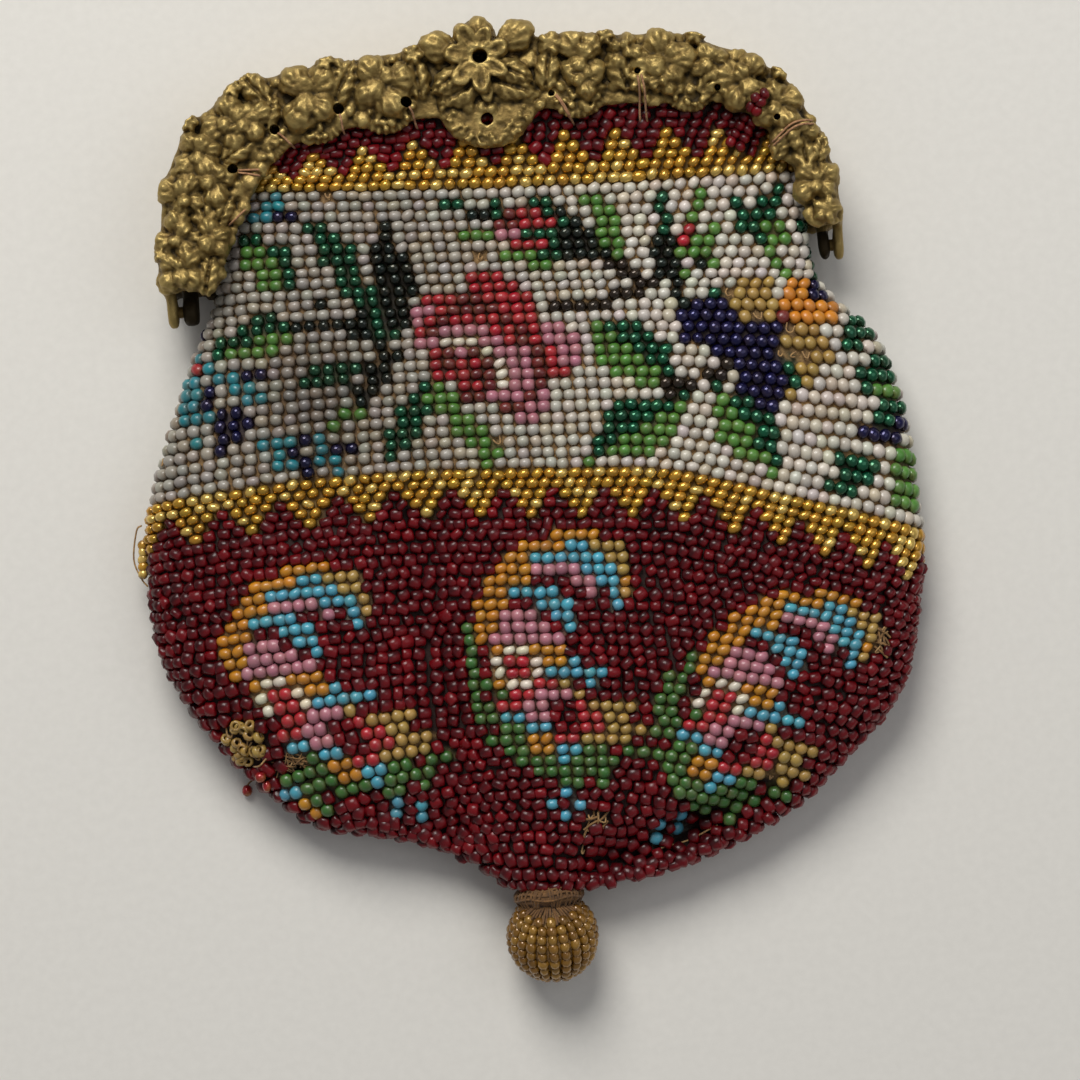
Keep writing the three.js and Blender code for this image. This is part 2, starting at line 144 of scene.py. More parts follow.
def addMath(nodes, links, operation, first, second=None, clamp=False):
    node = nodes.new("ShaderNodeMath")
    node.operation, node.use_clamp = operation, clamp
    for socket, value in zip(node.inputs, (first, second)):
        if value is None:
            continue
        if isinstance(value, (int, float)):
            socket.default_value = value
        else:
            links.new(value, socket)
    return node.outputs[0]


def addMix(nodes, links, blend, factor, first, second):
    node = nodes.new("ShaderNodeMix")
    node.data_type, node.blend_type = "RGBA", blend
    for socket, value in zip((node.inputs[0], node.inputs[6], node.inputs[7]), (factor, first, second)):
        if isinstance(value, (int, float, tuple)):
            socket.default_value = value
        else:
            links.new(value, socket)
    return node.outputs[2]


# the camera looks straight down, turned as the purse lies in the photograph
view = {
    "turnDeg": -5.2, "above": 450.0, "aim": (0.82, -4.89, 8.0), "frameWide": 129.6, "sensor": 36.0,
    "clip": (0.01, 20.0),
}
cameraData = bpy.data.cameras.new("camera")
camera = bpy.data.objects.new("camera", cameraData)
scene.collection.objects.link(camera)
cameraData.sensor_width = view["sensor"]
cameraData.lens = view["sensor"] * view["above"] / view["frameWide"]
camera.location = Vector(view["aim"]) * mm + Vector((0, 0, view["above"] * mm))
camera.rotation_euler = (0, 0, math.radians(view["turnDeg"]))
cameraData.clip_start, cameraData.clip_end = view["clip"]
scene.camera = camera

studio = {
    "keyAt": (-0.12, 0.54, 0.57), "keyWide": 0.46, "keyWatts": 5.5, "keyTint": (1.0, 0.985, 0.95),
    "fillAt": (0.5, 0.1, 0.75), "fillWide": 0.7, "fillWatts": 0.9, "fillTint": (0.97, 0.98, 1.0),
    "sky": (0.95, 0.96, 1.0), "skyStrength": 0.24,
    "floorTint": (226, 223, 216), "floorShade": 4, "floorRough": 0.75, "floorGrain": 900.0, "floorWide": 6.0,
}


def addLamp(kind):
    place = studio[kind + "At"]
    data = bpy.data.lights.new(kind + "Lamp", "AREA")
    data.shape, data.size = "DISK", studio[kind + "Wide"]
    data.energy, data.color = studio[kind + "Watts"], studio[kind + "Tint"]
    lamp = bpy.data.objects.new(kind + "Lamp", data)
    lamp.location = place
    lamp.rotation_euler = (-Vector(place)).to_track_quat("-Z", "Y").to_euler()
    scene.collection.objects.link(lamp)


addLamp("key")
addLamp("fill")
world = bpy.data.worlds.new("studio")
scene.world = world
world.use_nodes = True
world.node_tree.nodes["Background"].inputs["Color"].default_value = (*studio["sky"], 1)
world.node_tree.nodes["Background"].inputs["Strength"].default_value = studio["skyStrength"]
scene.view_settings.view_transform = "Standard"


def makeFloor():
    half = studio["floorWide"] / mm / 2
    corners = [(-half, -half, 0), (half, -half, 0), (half, half, 0), (-half, half, 0)]
    floor = linkObject("paleFloor", makeMesh("paleFloor", corners, [(0, 1, 2, 3)]))
    material, nodes, links, shader = newMaterial("palePaper")
    coords = addNode(nodes, "ShaderNodeTexCoord")
    grain = addNode(nodes, "ShaderNodeTexNoise", Scale=studio["floorGrain"], Detail=3.0)
    links.new(coords.outputs["Object"], grain.inputs["Vector"])
    light = np.array(studio["floorTint"])
    ramp = addRamp(nodes, [(0.3, light - studio["floorShade"]), (0.7, light)])
    links.new(grain.outputs["Fac"], ramp.inputs["Fac"])
    links.new(ramp.outputs["Color"], shader.inputs["Base Color"])
    shader.inputs["Roughness"].default_value = studio["floorRough"]
    floor.data.materials.append(material)


makeFloor()
print("camera, light and floor set")

# the pouch: one smooth bag laid flat, read row by row from the mouth to the point
pouch = {
    "outline": {
        "row": [-8, -4, 0, 7, 10, 13, 18, 25, 31, 42, 53, 60, 62.6, 64],
        "leftX": [
            -30, -31.2, -32, -34.9, -36.2, -38.3, -41.7, -45.7, -46.8, -44.8, -30.9, -14.5, -8.4, -5.4,
        ],
        "leftY": [44.5, 42, 39.5, 30, 26, 22.2, 14.8, 4.2, -3, -18.8, -36, -41.2, -45.4, -47.2],
        "midX": [0.7, 1.2, 1.6, 1.7, 1.8, 1.9, 1.6, 1, 1, 0.6, 0.2, -0.6, -1.6, -2.1],
        "midY": [47.2, 42, 36.8, 27.9, 24.2, 20.3, 13.6, 4.1, -3.1, -18.1, -32.6, -42, -46, -47.6],
        "rightX": [33.3, 35, 36.2, 36.7, 38.7, 43.4, 46.3, 47.1, 46.3, 41.9, 27.7, 13.9, 6.8, 1.2],
        "rightY": [43.6, 39.8, 35.8, 25.2, 21.4, 16.4, 7.0, -6.9, -15.1, -27.9, -40.5, -46.1, -47, -47.4],
        "floor": [2.5, 2.5, 2, 0.7, 0.2, 0, 0, 0, 0, 0, 0, 0.5, 1.4, 2.8],
        "edge": [6.3, 6.3, 6.3, 5.8, 5.4, 5.2, 5.1, 5, 5, 5, 4.6, 4.6, 4.9, 5.4],
        "crown": [10.1, 10.1, 10.4, 10.8, 11, 11.3, 11.6, 12, 12.4, 12.4, 10.8, 9.6, 9.3, 8.6],
        "square": [7, 5, 4, 3.4, 3.2, 3, 3, 3, 3, 2.8, 2.6, 2.4, 2.2, 2],
        "sway": [0, 0, 0, 0, 0.1, 0.2, 0.6, 1.2, 1.1, 0.4, 0, 0, 0, 0],
    },
    # creases and swellings of the front: from x, y to x, y, width, rise
    "folds": [
        (-13.9, 25.4, -23.7, 3.4, 4.0, -1.6), (-14.1, -3.5, -12.6, -39.8, 3.6, -1.8),
        (14.3, -8.5, 9.5, -40, 4, -1.2), (4.6, -44.6, 15.5, -41.8, 2.5, -3.2),
        (15.5, -41.8, 25.5, -38.2, 2.4, -3.6), (-38, -27.9, -14.3, -38.5, 2.5, -1.5),
        (-31, -10, -24, -28, 6.5, 1), (0.5, -10, 0, -30, 6.5, 0.8), (28, -16, 20, -32, 6.5, 0.8),
    ],
    # rows sway down the front about one place across, and the wall below fills out sooner
    "swayAt": 0.34, "swayReach": 0.26, "underFull": 1.15, "slopeReach": 0.4,
    "beadSink": 0.62, "groundSink": 0.95, "groundThick": 0.55,
}
mouthRow, pointRow = pouch["outline"]["row"][0], pouch["outline"]["row"][-1]


def readTable(table, key, at):
    keys = np.array(table[key], float)
    at = np.asarray(at, float)
    i = np.clip(np.searchsorted(keys, at, side="right") - 1, 0, len(keys) - 2)
    before, after = np.maximum(i - 1, 0), np.minimum(i + 2, len(keys) - 1)
    span = keys[i + 1] - keys[i]
    t = np.clip((at - keys[i]) / span, 0, 1)
    found = {}
    for name, values in table.items():
        v = np.array(values, float)
        slopeA = (v[i + 1] - v[before]) / (keys[i + 1] - keys[before])
        slopeB = (v[after] - v[i]) / (keys[after] - keys[i])
        found[name] = (v[i] + t * t * (3 - 2 * t) * (v[i + 1] - v[i])
                       + t * (1 - t) ** 2 * span * slopeA - t * t * (1 - t) * span * slopeB)
    return found


def foldRise(x, y):
    rise = np.zeros_like(x)
    for x0, y0, x1, y1, wide, high in pouch["folds"]:
        dx, dy = x1 - x0, y1 - y0
        t = np.clip(((x - x0) * dx + (y - y0) * dy) / (dx * dx + dy * dy), 0, 1)
        rise += high * np.exp(-((x - x0 - t * dx) ** 2 + (y - y0 - t * dy) ** 2) / wide ** 2)
    return rise


def pouchPoint(row, across, front):
    at = readTable(pouch["outline"], "row", row)
    lift = np.maximum(0, 1 - np.abs(across) ** at["square"]) ** (1 / at["square"])
    x = at["midX"] + across * (at["rightX"] - at["leftX"]) / 2 \
        + across ** 2 * ((at["leftX"] + at["rightX"]) / 2 - at["midX"])
    y = at["midY"] + across * (at["rightY"] - at["leftY"]) / 2 \
        + across ** 2 * ((at["leftY"] + at["rightY"]) / 2 - at["midY"])
    y = y + at["sway"] * np.exp(-((across - pouch["swayAt"]) / pouch["swayReach"]) ** 2)
    floor = np.maximum(0, at["floor"])
    upper = at["edge"] + lift * (at["crown"] + lift * foldRise(x, y) - at["edge"])
    lower = at["edge"] - np.minimum(1, pouch["underFull"] * lift) * (at["edge"] - floor)
    return np.stack([x, y, np.where(front, upper, lower)], -1)


# one row as a dense ring: it starts at the back middle, crosses the left edge and the front
ringSteps = 360
ringHalf = np.linspace(-1, 1, 2 * ringSteps + 1)
ringAcross = np.sign(ringHalf) * (1 - (1 - np.abs(ringHalf)) ** 3)
ringU = np.concatenate([-ringAcross[ringSteps:-1], ringAcross[:-1], ringAcross[:ringSteps - 1:-1]])
ringFront = np.zeros(len(ringU), bool)
ringFront[ringSteps:3 * ringSteps + 1] = True


def pouchRing(row):
    rows = np.full(len(ringU), float(row))
    here = pouchPoint(rows, ringU, ringFront)
    steps = np.linalg.norm(np.diff(here, axis=0), axis=1)
    arc = np.concatenate([[0], np.cumsum(steps)])
    arc -= arc[2 * ringSteps]
    along = unit(np.gradient(here, axis=0))
    reach = pouch["slopeReach"]
    down = pouchPoint(np.minimum(rows + reach, pointRow), ringU, ringFront) \
        - pouchPoint(np.maximum(rows - reach, mouthRow), ringU, ringFront)
    out = unit(np.cross(down, along))
    fall = np.linalg.norm(down, axis=1) / (2 * reach)
    return {"arc": arc, "at": here, "along": along, "out": out, "drop": fall}


def readRing(ring, arc):
    read = {}
    for name in ("at", "along", "out"):
        read[name] = np.stack([np.interp(arc, ring["arc"], ring[name][:, i]) for i in range(3)], -1)
    read["drop"] = np.interp(arc, ring["arc"], ring["drop"])
    read["front"] = (arc > ring["arc"][ringSteps]) & (arc < ring["arc"][3 * ringSteps])
    return read


# bead colours, with the glass that each is made of
beadTints = {
    "W": ("chalk", (188, 182, 170)), "C": ("chalk", (214, 204, 182)), "P": ("chalk", (172, 108, 122)),
    "R": ("chalk", (162, 8, 34)), "D": ("chalk", (98, 8, 20)), "L": ("chalk", (72, 124, 46)),
    "T": ("chalk", (20, 128, 138)), "S": ("chalk", (66, 152, 174)), "O": ("chalk", (182, 118, 14)),
    "K": ("chalk", (164, 132, 64)), "A": ("chalk", (196, 122, 26)), "G": ("chalk", (48, 98, 38)),
    "Y": ("lined", (196, 146, 44)), "E": ("lined", (6, 88, 58)), "B": ("lined", (10, 30, 24)),
    "N": ("lined", (8, 10, 66)), "X": ("lined", (42, 32, 24)), "M": ("garnet", (64, 5, 10)),
}
# beads that differ from their family: length, width, lean in degrees
beadShapes = {
    "P": (1.05, 1.1, -6), "O": (1.04, 0.92, 12), "S": (1.0, 0.95, 8), "Y": (1.1, 1.0, 10),
    "C": (1.02, 0.8, 10), "K": (0.96, 0.96, 8),
}

# charts worked bead by bead: first column and row, then the rows from the top
floralCharts = {
    "bud": (-5, 1, ["EE..E..EE....", "..BBEDRREB...", "....DDRRREB..", ".LLLPPEEEBBB.",
                    ".....RRREBBB.", "....LLLEEBBBB", "......LL....."]),
    "rose": (-9, 8, [".....RRR.....", ".....RRRR....", ".RRRDDRRRR...", "PPRDDDDRRR...", "PRDRRRRDRR...",
                     "RDPPPPRRDRPP.", "PPCCCPPRDRPPP", ".RDPDCPPPDRPP", ".RDRRDCPPDRPP", ".RRRDDCPPDRR.",
                     "...RRDCPPD...", "...DDPPPDP...", "......DDPP...", ".......PP...."]),
    "pansy": (12, 9, [".....KKK.AAN.", "...EtKKK.AANN", ".NNNKKKKAAAAA", "NNNNNKtKDAAAA", "NNNNNNNNtKK..",
                      "NNNNNNNNKKKK.", "..NNNNNtttKK.", "....NNNNEKK..", "....NNNNEK...", "....NNNNK....",
                      ".....NN......"]),
    "sprig": (11, 1, [".E..L.", ".E..L.", ".E.L..", ".E.R.L", "BBRLL.", "BBLLL.", "BB.BL.", "BBL...",
                      ".B....", ".B....", ".B...."]),
    "leafSpray": (18, 1, ["...E.", "E.EE.", "EEE..", "EELL.", ".ELL.", "..L..", "..L..", "...L."]),
    "tipFlower": (-20, 0, ["..T.", ".TT.", "TTNN"]),
    "leftLeaf": (-22, 4, [".EE...", ".LLEE.", ".LLLE.", "..LLE.", "..LLE."]),
    "flatLeaf": (-24, 11, ["...EE.....", "..EEEEBBB.", "EEELLL....", "ELLLL....."]),
    "sideFlower": (-27, 14, [".T......", ".RT.....", "TT.TTNN.", "TTN.TT..", "TTN..TT.", "TTTNN...",
                             "...NNN..", ".T.NN...", "...N...."]),
    "lowerFlower": (-21, 22, ["TTTNT..", ".TN.TNN", ".TTNTT.", "...N.T."]),
}

# strokes and leaves: colours, from column, row to column, row, half width in beads
floralStrokes = [
    ("LL", 6.9, 1, 7.9, 6.3, 0.9), ("EE", 23.6, 4, 24.2, 8.5, 0.7), ("LE", 10.3, 17.8, 4.6, 12.6, 2.5),
    ("LE", 10.8, 19.7, 3.4, 24.4, 2.4), ("EL", 13.7, 18.2, 18.2, 23.6, 2.3),
    ("EE", 25.1, 14.1, 27.6, 11.7, 0.9), ("EE", 25.8, 17.1, 29.3, 14.9, 1.3),
    ("LL", 27, 17.2, 29.5, 17, 0.6), ("EN", 25.9, 19.8, 30.5, 18.3, 1.5),
    ("EE", 22.9, 23.7, 27.8, 21.5, 1.3), ("LL", 30, 20.5, 30, 23.8, 1.0), ("XX", 1.3, 11.6, 5, 11, 0.5),
    ("XX", 5, 11, 9.7, 9.3, 0.5), ("XX", 7.5, 6.8, 10, 9.3, 0.5), ("XX", 14.9, 16.5, 10, 18.5, 0.5),
    ("EE", -15.2, 3, -13.3, 9.4, 0.8), ("EE", -14.0, 4.4, -12.3, 12, 0.9),
    ("EE", -12.9, 7, -11.4, 13, 0.6), ("BB", -10.2, 3, -10.6, 13.4, 1.6),
    ("BB", -16.9, 9.6, -15.8, 9.6, 0.5), ("BB", -15.6, 12, -12.5, 12.8, 0.6),
    ("BB", -13, 11, -13.5, 13, 0.5), ("EE", -18.6, 17.3, -17, 16.4, 0.8),
    ("EE", -17, 16.4, -12.5, 15.9, 0.9), ("BB", -11.5, 14.3, -12.6, 17.2, 0.8),
    ("BB", -12.6, 17.2, -14.2, 18.8, 0.8), ("LL", -14.5, 19.5, -14.5, 20, 0.5),
    ("LL", -16.2, 20.7, -16.2, 21.5, 0.5), ("EE", -8.6, 17.6, -12.4, 24.2, 1.2),
    ("LL", -8.3, 18.6, -4.6, 24.2, 0.9), ("NN", -25.3, 10.5, -26.2, 12, 0.5),
]

# how strokes are filled: beads tried past the ends, taper of a leaf, its fullness, run past the ends
strokeFill = {"beyond": 4, "taper": (0.06, 0.97), "fullness": 0.7, "past": 0.08, "least": 0.01}

# the boteh of each gore: columns count from the gore's axis, rows from its tip
botehChart = [
    "........OOOO..", ".....OOOOSSKKK", "....OOSSSSSSKK", "...OOOPPPPSSSK", "..OOOO...PPSSO",
    "..OOSSSS..P.SK", ".OOO..SSS...S.", ".OOPPP.SS.....", "GOOPPPP.S.....", "GOPPPPPP......",
    "G.OCCOOO......", "G.CRRCOOS.....", "G.CRRCSSSSS...", "GGOCCRRK.S....", "G.GRRPPPK.....",
    "GGRRPP..RKKKK.", "GGSSPP..RRKK..", "..GGSS..RRKKK.", ".GGGOORRKKKK..", "..GGOOSSGG.GG.",
    "...GGGSGGGG...", "....GGGGGG....", "......GG.G....", "......S.......", ".....S.S......",
    "......S.......",
]

knitting = {
    "lowest": 0.84, "firstRow": -8, "whiteTo": 25, "lastRow": 63, "goreFrom": 31, "botehMid": 6,
    "pitch": 1.5, "rowPitch": 1.32, "spreadRight": 0.0012, "spreadLeft": 0.0035,
    "gorePitch": {"row": [31, 42, 52, 64], "pitch": [1.48, 1.55, 1.62, 1.5]},
    # columns of the band lean as they go down: mm a row, level row, share by place
    "lean": 0.12, "leanFrom": 9, "leanAcross": ([-42, -12, 26, 46], [0, 1, 1, 0]),
    # rows shift to and fro like bricks, most on the right: mm, by place
    "stagger": 0.62, "staggerAcross": ([-46, -16, 8, 18, 44, 54], [0.6, 0.2, 0.1, 1, 1, 0]),
    # and all across the gold bands, so that their points are even: mm
    "bandStagger": 0.75,
    # garnet points of the gold bands: rows they begin at, beads from point to point
    "pointRows": (-2, 27), "pointWide": 4,
    # beads tilt in degrees, more to the right of the middle, and stand up and sink a little unevenly
    "tilt": 14.0, "tiltAcross": 24.0, "halfWide": 45.0, "poke": 0.1, "sinkLoose": 0.05,
    # beads reach up and down to the next row, within limits
    "stretch": (0.85, 1.3),
    # axes of the gores by row, front then back, left to right as seen from the front
    "axes": {
        "row": [31, 34, 43, 54, 60, 64],
        "front0": [-34.5, -32.6, -28.8, -19.0, -9.5, -4.2], "front1": [0.0, 0.1, 0.6, 1.3, 0.0, -2.2],
        "front2": [31.8, 30.9, 26.0, 17.5, 8.0, -0.2], "back0": [-29.0, -28.0, -23.5, -17.0, -9.0, -4.2],
        "back1": [1.0, 1.0, 0.6, 0.0, -1.2, -2.2], "back2": [29.5, 28.6, 25.0, 18.0, 8.0, -0.2],
    },
    # where each gore's boteh begins, and how many rows it takes
    "botehTop": [34, 32, 34, 33, 32, 33], "botehRows": [22, 25, 24, 25, 25, 25],
    # the right one's stem is two beads wide: gore, column, from row
    "wideStem": (2, -7, 10),
    # the left one has none: gore, bead, to row
    "noStem": (0, "G", 17),
}

# bare places, the hole and lost beads are wear; the light kept on the band and its hollow are painted shade
wornAndShaded = {
    # bare ellipses of the front: x, y, half length, half width, turn
    "bare": [
        (-31.0, -29.2, 2.2, 1.3, -15), (-36.7, -26.0, 2.3, 2.4, 0), (4.2, -38.9, 1.7, 1.0, 25),
        (40.6, -20.4, 1.0, 1.8, 0),
    ],
    # a hole through the cloth above a height: x, y, radius; share of beads lost, and where they are thin
    "hole": (-30.4, -30.2, 1.25), "holeAbove": 3.0, "lost": 0.004, "thin": (4.0, -41.0, 13.0, 5.0, 0.05),
    # painted light and shade of the band: light kept by the white beads, by x, and a darker hollow of
    # painted shade: x, y, reach, reach, share
    "paintedShade": ([-12, 4, 16], [0.62, 0.9, 1.1]), "shadedHollow": (-24.5, 15.0, 7.0, 8.0, 0.54), "paintedShadeOthers": 0.4,
    # light kept by the garnets, by x
    "garnetLight": ([-36, -20, 0, 12, 25], [0.82, 0.9, 1, 0.8, 0.62]),
    # the end of the left boteh, rolled over the edge: x, y, reach, bead
    "rolled": [
        (-30.3, -31.9, 2.5, "G"), (-32.4, -32.4, 0.9, "S"), (-31.2, -33.2, 0.9, "S"),
        (-29.8, -34.6, 1.2, "O"), (-27.2, -35.3, 1.0, "G"),
    ],
}


def isBare(at):
    for x, y, long, wide, turn in wornAndShaded["bare"]:
        c, s = math.cos(math.radians(turn)), math.sin(math.radians(turn))
        dx, dy = at[0] - x, at[1] - y
        if ((dx * c + dy * s) / long) ** 2 + ((dy * c - dx * s) / wide) ** 2 < 1:
            return True
    return False


def lostShare(at):
    x, y, long, wide, share = wornAndShaded["thin"]
    return share if math.hypot((at[0] - x) / long, (at[1] - y) / wide) < 1 else wornAndShaded["lost"]


def lightKept(at):
    # painted shade: the band darker to the left and in a hollow, lighter to the right
    x, y, reachX, reachY, share = wornAndShaded["shadedHollow"]
    shadedHollow = np.exp(-((at[:, 0] - x) / reachX) ** 2 - ((at[:, 1] - y) / reachY) ** 2)
    return np.interp(at[:, 0], *wornAndShaded["paintedShade"]) * (1 - share * shadedHollow)


def paintStrokes(chart):
    beyond, past = strokeFill["beyond"], strokeFill["past"]
    blunt, sharp = strokeFill["taper"]
    for codes, k0, r0, k1, r1, half in floralStrokes:
        dk, dr = k1 - k0, r1 - r0
        length = max(dk * dk + dr * dr, strokeFill["least"])
        rows = range(int(min(r0, r1) - beyond), int(max(r0, r1) + beyond + 1))
        for k in range(int(min(k0, k1) - beyond), int(max(k0, k1) + beyond + 1)):
            for r in rows:
                t = ((k - k0) * dk + (r - r0) * dr) / length
                away = ((k - k0) * dr - (r - r0) * dk) / math.sqrt(length)
                wide = half
                if half > 1:  # a leaf, widest in its middle
                    swell = max(0, math.sin(math.pi * min(max(t, blunt), sharp)))
                    wide = half * swell ** strokeFill["fullness"]
                if -past <= t <= 1 + past and abs(away) <= wide:
                    chart[k, r] = codes[0] if away > 0 else codes[1]


def makeFloralChart():
    chart = {}
    paintStrokes(chart)
    for k0, r0, lines in floralCharts.values():
        for r, line in enumerate(lines):
            for k, code in enumerate(line):
                if code != ".":
                    chart[k0 + k, r0 + r] = code
    return chart


def bandCode(row, column):
    upper, lower = knitting["pointRows"]
    wide = knitting["pointWide"]
    garnets = min(max(upper - row if row < 0 else row - lower, 0), wide)
    return "M" if (column + garnets // 2) % wide < garnets else "Y"


def botehCode(boteh, row, column, gore):
    down = (row - knitting["botehTop"][gore]) * (len(botehChart) - 1) / knitting["botehRows"][gore]
    code = boteh.get((column, round(down)), "M")
    stemGore, stemColumn, stemRow = knitting["wideStem"]
    if gore == stemGore and column == stemColumn and down >= stemRow:
        code = boteh.get((column + 1, round(down)), "M")
    bareGore, stemBead, bareTo = knitting["noStem"]
    if gore == bareGore and code == stemBead and down < bareTo:
        code = "M"
    return code


def brickSide(row):
    # rows shift right and left in turn; those above the white band start the other way
    return 0.5 if (row % 2 == 1) == (row >= 0) else -0.5


def bandSpots(row, ring):
    # columns count from the middle of the front, and close up at the back
    spots = []
    arc = ring["arc"]
    sides = ((1, arc[3 * ringSteps], arc[-1], "spreadRight"), (-1, -arc[ringSteps], -arc[0], "spreadLeft"))
    for side, edge, far, spread in sides:
        n, last = (0 if side > 0 else 1), 0
        while True:
            place = knitting["pitch"] * n + knitting[spread] * n * n
            if place > edge:
                break
            spots.append((side * place, side * n))
            last, n = place, n + 1
        count = max(1, round((far - last) / knitting["pitch"]))
        for j in range(1, count + (1 if side > 0 else 0)):
            spots.append((side * (last + (far - last) * j / count), side * (count - j)))
    swing = knitting["lean"] * (row - knitting["leanFrom"])
    shifted = []
    for place, column in spots:
        stagger = knitting["bandStagger"]
        if 0 <= row <= knitting["whiteTo"]:
            stagger = knitting["stagger"] * float(np.interp(place, *knitting["staggerAcross"]))
        leaning = swing * float(np.interp(place, *knitting["leanAcross"]))
        shifted.append((place + leaning + brickSide(row) * stagger, column, 0))
    return shifted


def goreSpots(row, ring):
    axes = readTable(knitting["axes"], "row", row)
    pitch = readTable(knitting["gorePitch"], "row", row)["pitch"]
    arc, x = ring["arc"], ring["at"][:, 0]
    total = arc[-1] - arc[0]
    frontPart = slice(ringSteps, 3 * ringSteps + 1)
    backArc = np.concatenate([arc[3 * ringSteps:], arc[1:ringSteps + 1] + 2 * arc[-1]])
    backX = np.concatenate([x[3 * ringSteps:], x[1:ringSteps + 1]])
    marks = [np.interp(axes[name], x[frontPart], arc[frontPart]) for name in ("front0", "front1", "front2")]
    marks += [np.interp(-axes[name], -backX, backArc) for name in ("back2", "back1", "back0")]
    marks.append(marks[0] + total)
    gores = len(marks) - 1
    spots = []
    for g in range(gores):
        # the spacing gives a little so that each row closes, one bead fewer now and then
        span = marks[g + 1] - marks[g]
        count = max(1, round(span / pitch))
        for j in range(count):
            place = (marks[g] + span * j / count - arc[0]) % total + arc[0]
            mine = j <= count / 2
            spots.append((place, j if mine else j - count, g if mine else (g + 1) % gores))
    return spots


def layBeads():
    floral = makeFloralChart()
    boteh = {(k - knitting["botehMid"], r): code for r, line in enumerate(botehChart)
             for k, code in enumerate(line) if code != "."}
    beads = []
    for row in range(knitting["firstRow"], knitting["lastRow"] + 1):
        ring = pouchRing(row)
        inGores = row >= knitting["goreFrom"]
        spots = sorted(goreSpots(row, ring) if inGores else bandSpots(row, ring))
        read = readRing(ring, np.array([s[0] for s in spots]))
        for i, (_, column, gore) in enumerate(spots):
            if inGores:
                code = botehCode(boteh, row, column, gore)
            elif 0 <= row <= knitting["whiteTo"]:
                code = floral.get((column, row), "W")
            else:
                code = bandCode(row, column)
            at, along, out = (read[key][i] for key in ("at", "along", "out"))
            front = bool(read["front"][i])
            if front:
                for x, y, reach, tone in wornAndShaded["rolled"]:
                    if math.hypot(at[0] - x, at[1] - y) < reach:
                        code = tone
            if code == "t" or front and (isBare(at) or wearDice.random() < lostShare(at)):
                lostPlaces.append((at, along, out))
                continue
            beads.append({"code": code, "row": row, "front": front, "at": at, "along": along, "out": out,
                          "drop": read["drop"][i]})
    return beads


wearDice = np.random.default_rng(9)
lostPlaces = []
beads = layBeads()
print("bead rows laid,", len(beads), "beads")

# bead forms, unit sized: along the hole and radius; the ring is bored through, the others are dimpled
beadForms = {
    "round": {"sides": 8, "bored": False,
              "profile": [(-1, 0.36), (-0.76, 0.76), (-0.28, 0.98), (0.28, 0.98), (0.76, 0.76), (1, 0.36)]},
    "plain": {"sides": 6, "bored": False, "profile": [(-1, 0.42), (-0.62, 0.9), (0.62, 0.9), (1, 0.42)]},
    "stubby": {"sides": 8, "bored": False, "profile": [(-1, 0.5), (-0.72, 0.9), (0.72, 0.9), (1, 0.5)]},
    "ring": {"sides": 9, "bored": True,
             "profile": [(-0.5, 0.44), (-1, 0.7), (-0.5, 0.98), (0.5, 0.98), (1, 0.7), (0.5, 0.44)]},
}
dimple = 0.72  # where the dimple ends, along the hole
beadFamilies = {
    "chalk": {"form": "round", "long": 0.73, "wide": 0.72, "loose": 0.05, "jitter": 0.05, "tiltLoose": 11.0,
              "brick": 0.0, "oval": ([-42, -8, 5, 25], [1.1, 1.06, 1.02, 1.08])},
    "lined": {"form": "round", "long": 0.73, "wide": 0.71, "loose": 0.06, "jitter": 0.06, "tiltLoose": 12.0,
              "brick": 0.0, "oval": ([5, 25], [1, 1.08])},
    "garnet": {"form": "stubby", "long": 0.75, "wide": 0.75, "loose": 0.1, "jitter": 0.11, "tiltLoose": 22.0,
               "brick": 0.5, "oval": ([5, 25], [1, 0.98])},
}


def makeBeadForm(name):
    form = beadForms[name]
    sides, profile, bored = form["sides"], form["profile"], form["bored"]
    turn = np.arange(sides) * 2 * math.pi / sides
    points = [(x, r * math.cos(a), r * math.sin(a)) for x, r in profile for a in turn]
    beside = [(j, (j + 1) % sides) for j in range(sides)]
    faces = []
    for b in range(len(profile) if bored else len(profile) - 1):
        here, there = b * sides, (b + 1) % len(profile) * sides
        faces += [(there + j, there + k, here + k, here + j) for j, k in beside]
    if not bored:
        first, last, top = len(points), len(points) + 1, (len(profile) - 1) * sides
        points += [(-dimple, 0, 0), (dimple, 0, 0)]
        faces += [(j, k, first) for j, k in beside] + [(top + k, top + j, last) for j, k in beside]
    mesh = makeMesh(name + "BeadForm", np.array(points) / mm, faces)
    radius = np.hypot(*np.array(points)[:, 1:].T)
    # the hole value: painted shade in and around the hole, over the thread's own colour seen there
    putAttribute(mesh, "hole", "FLOAT", np.clip(2 - 2 * radius, 0, 1))  # dark towards the hole
    return linkObject(name + "BeadForm", mesh)


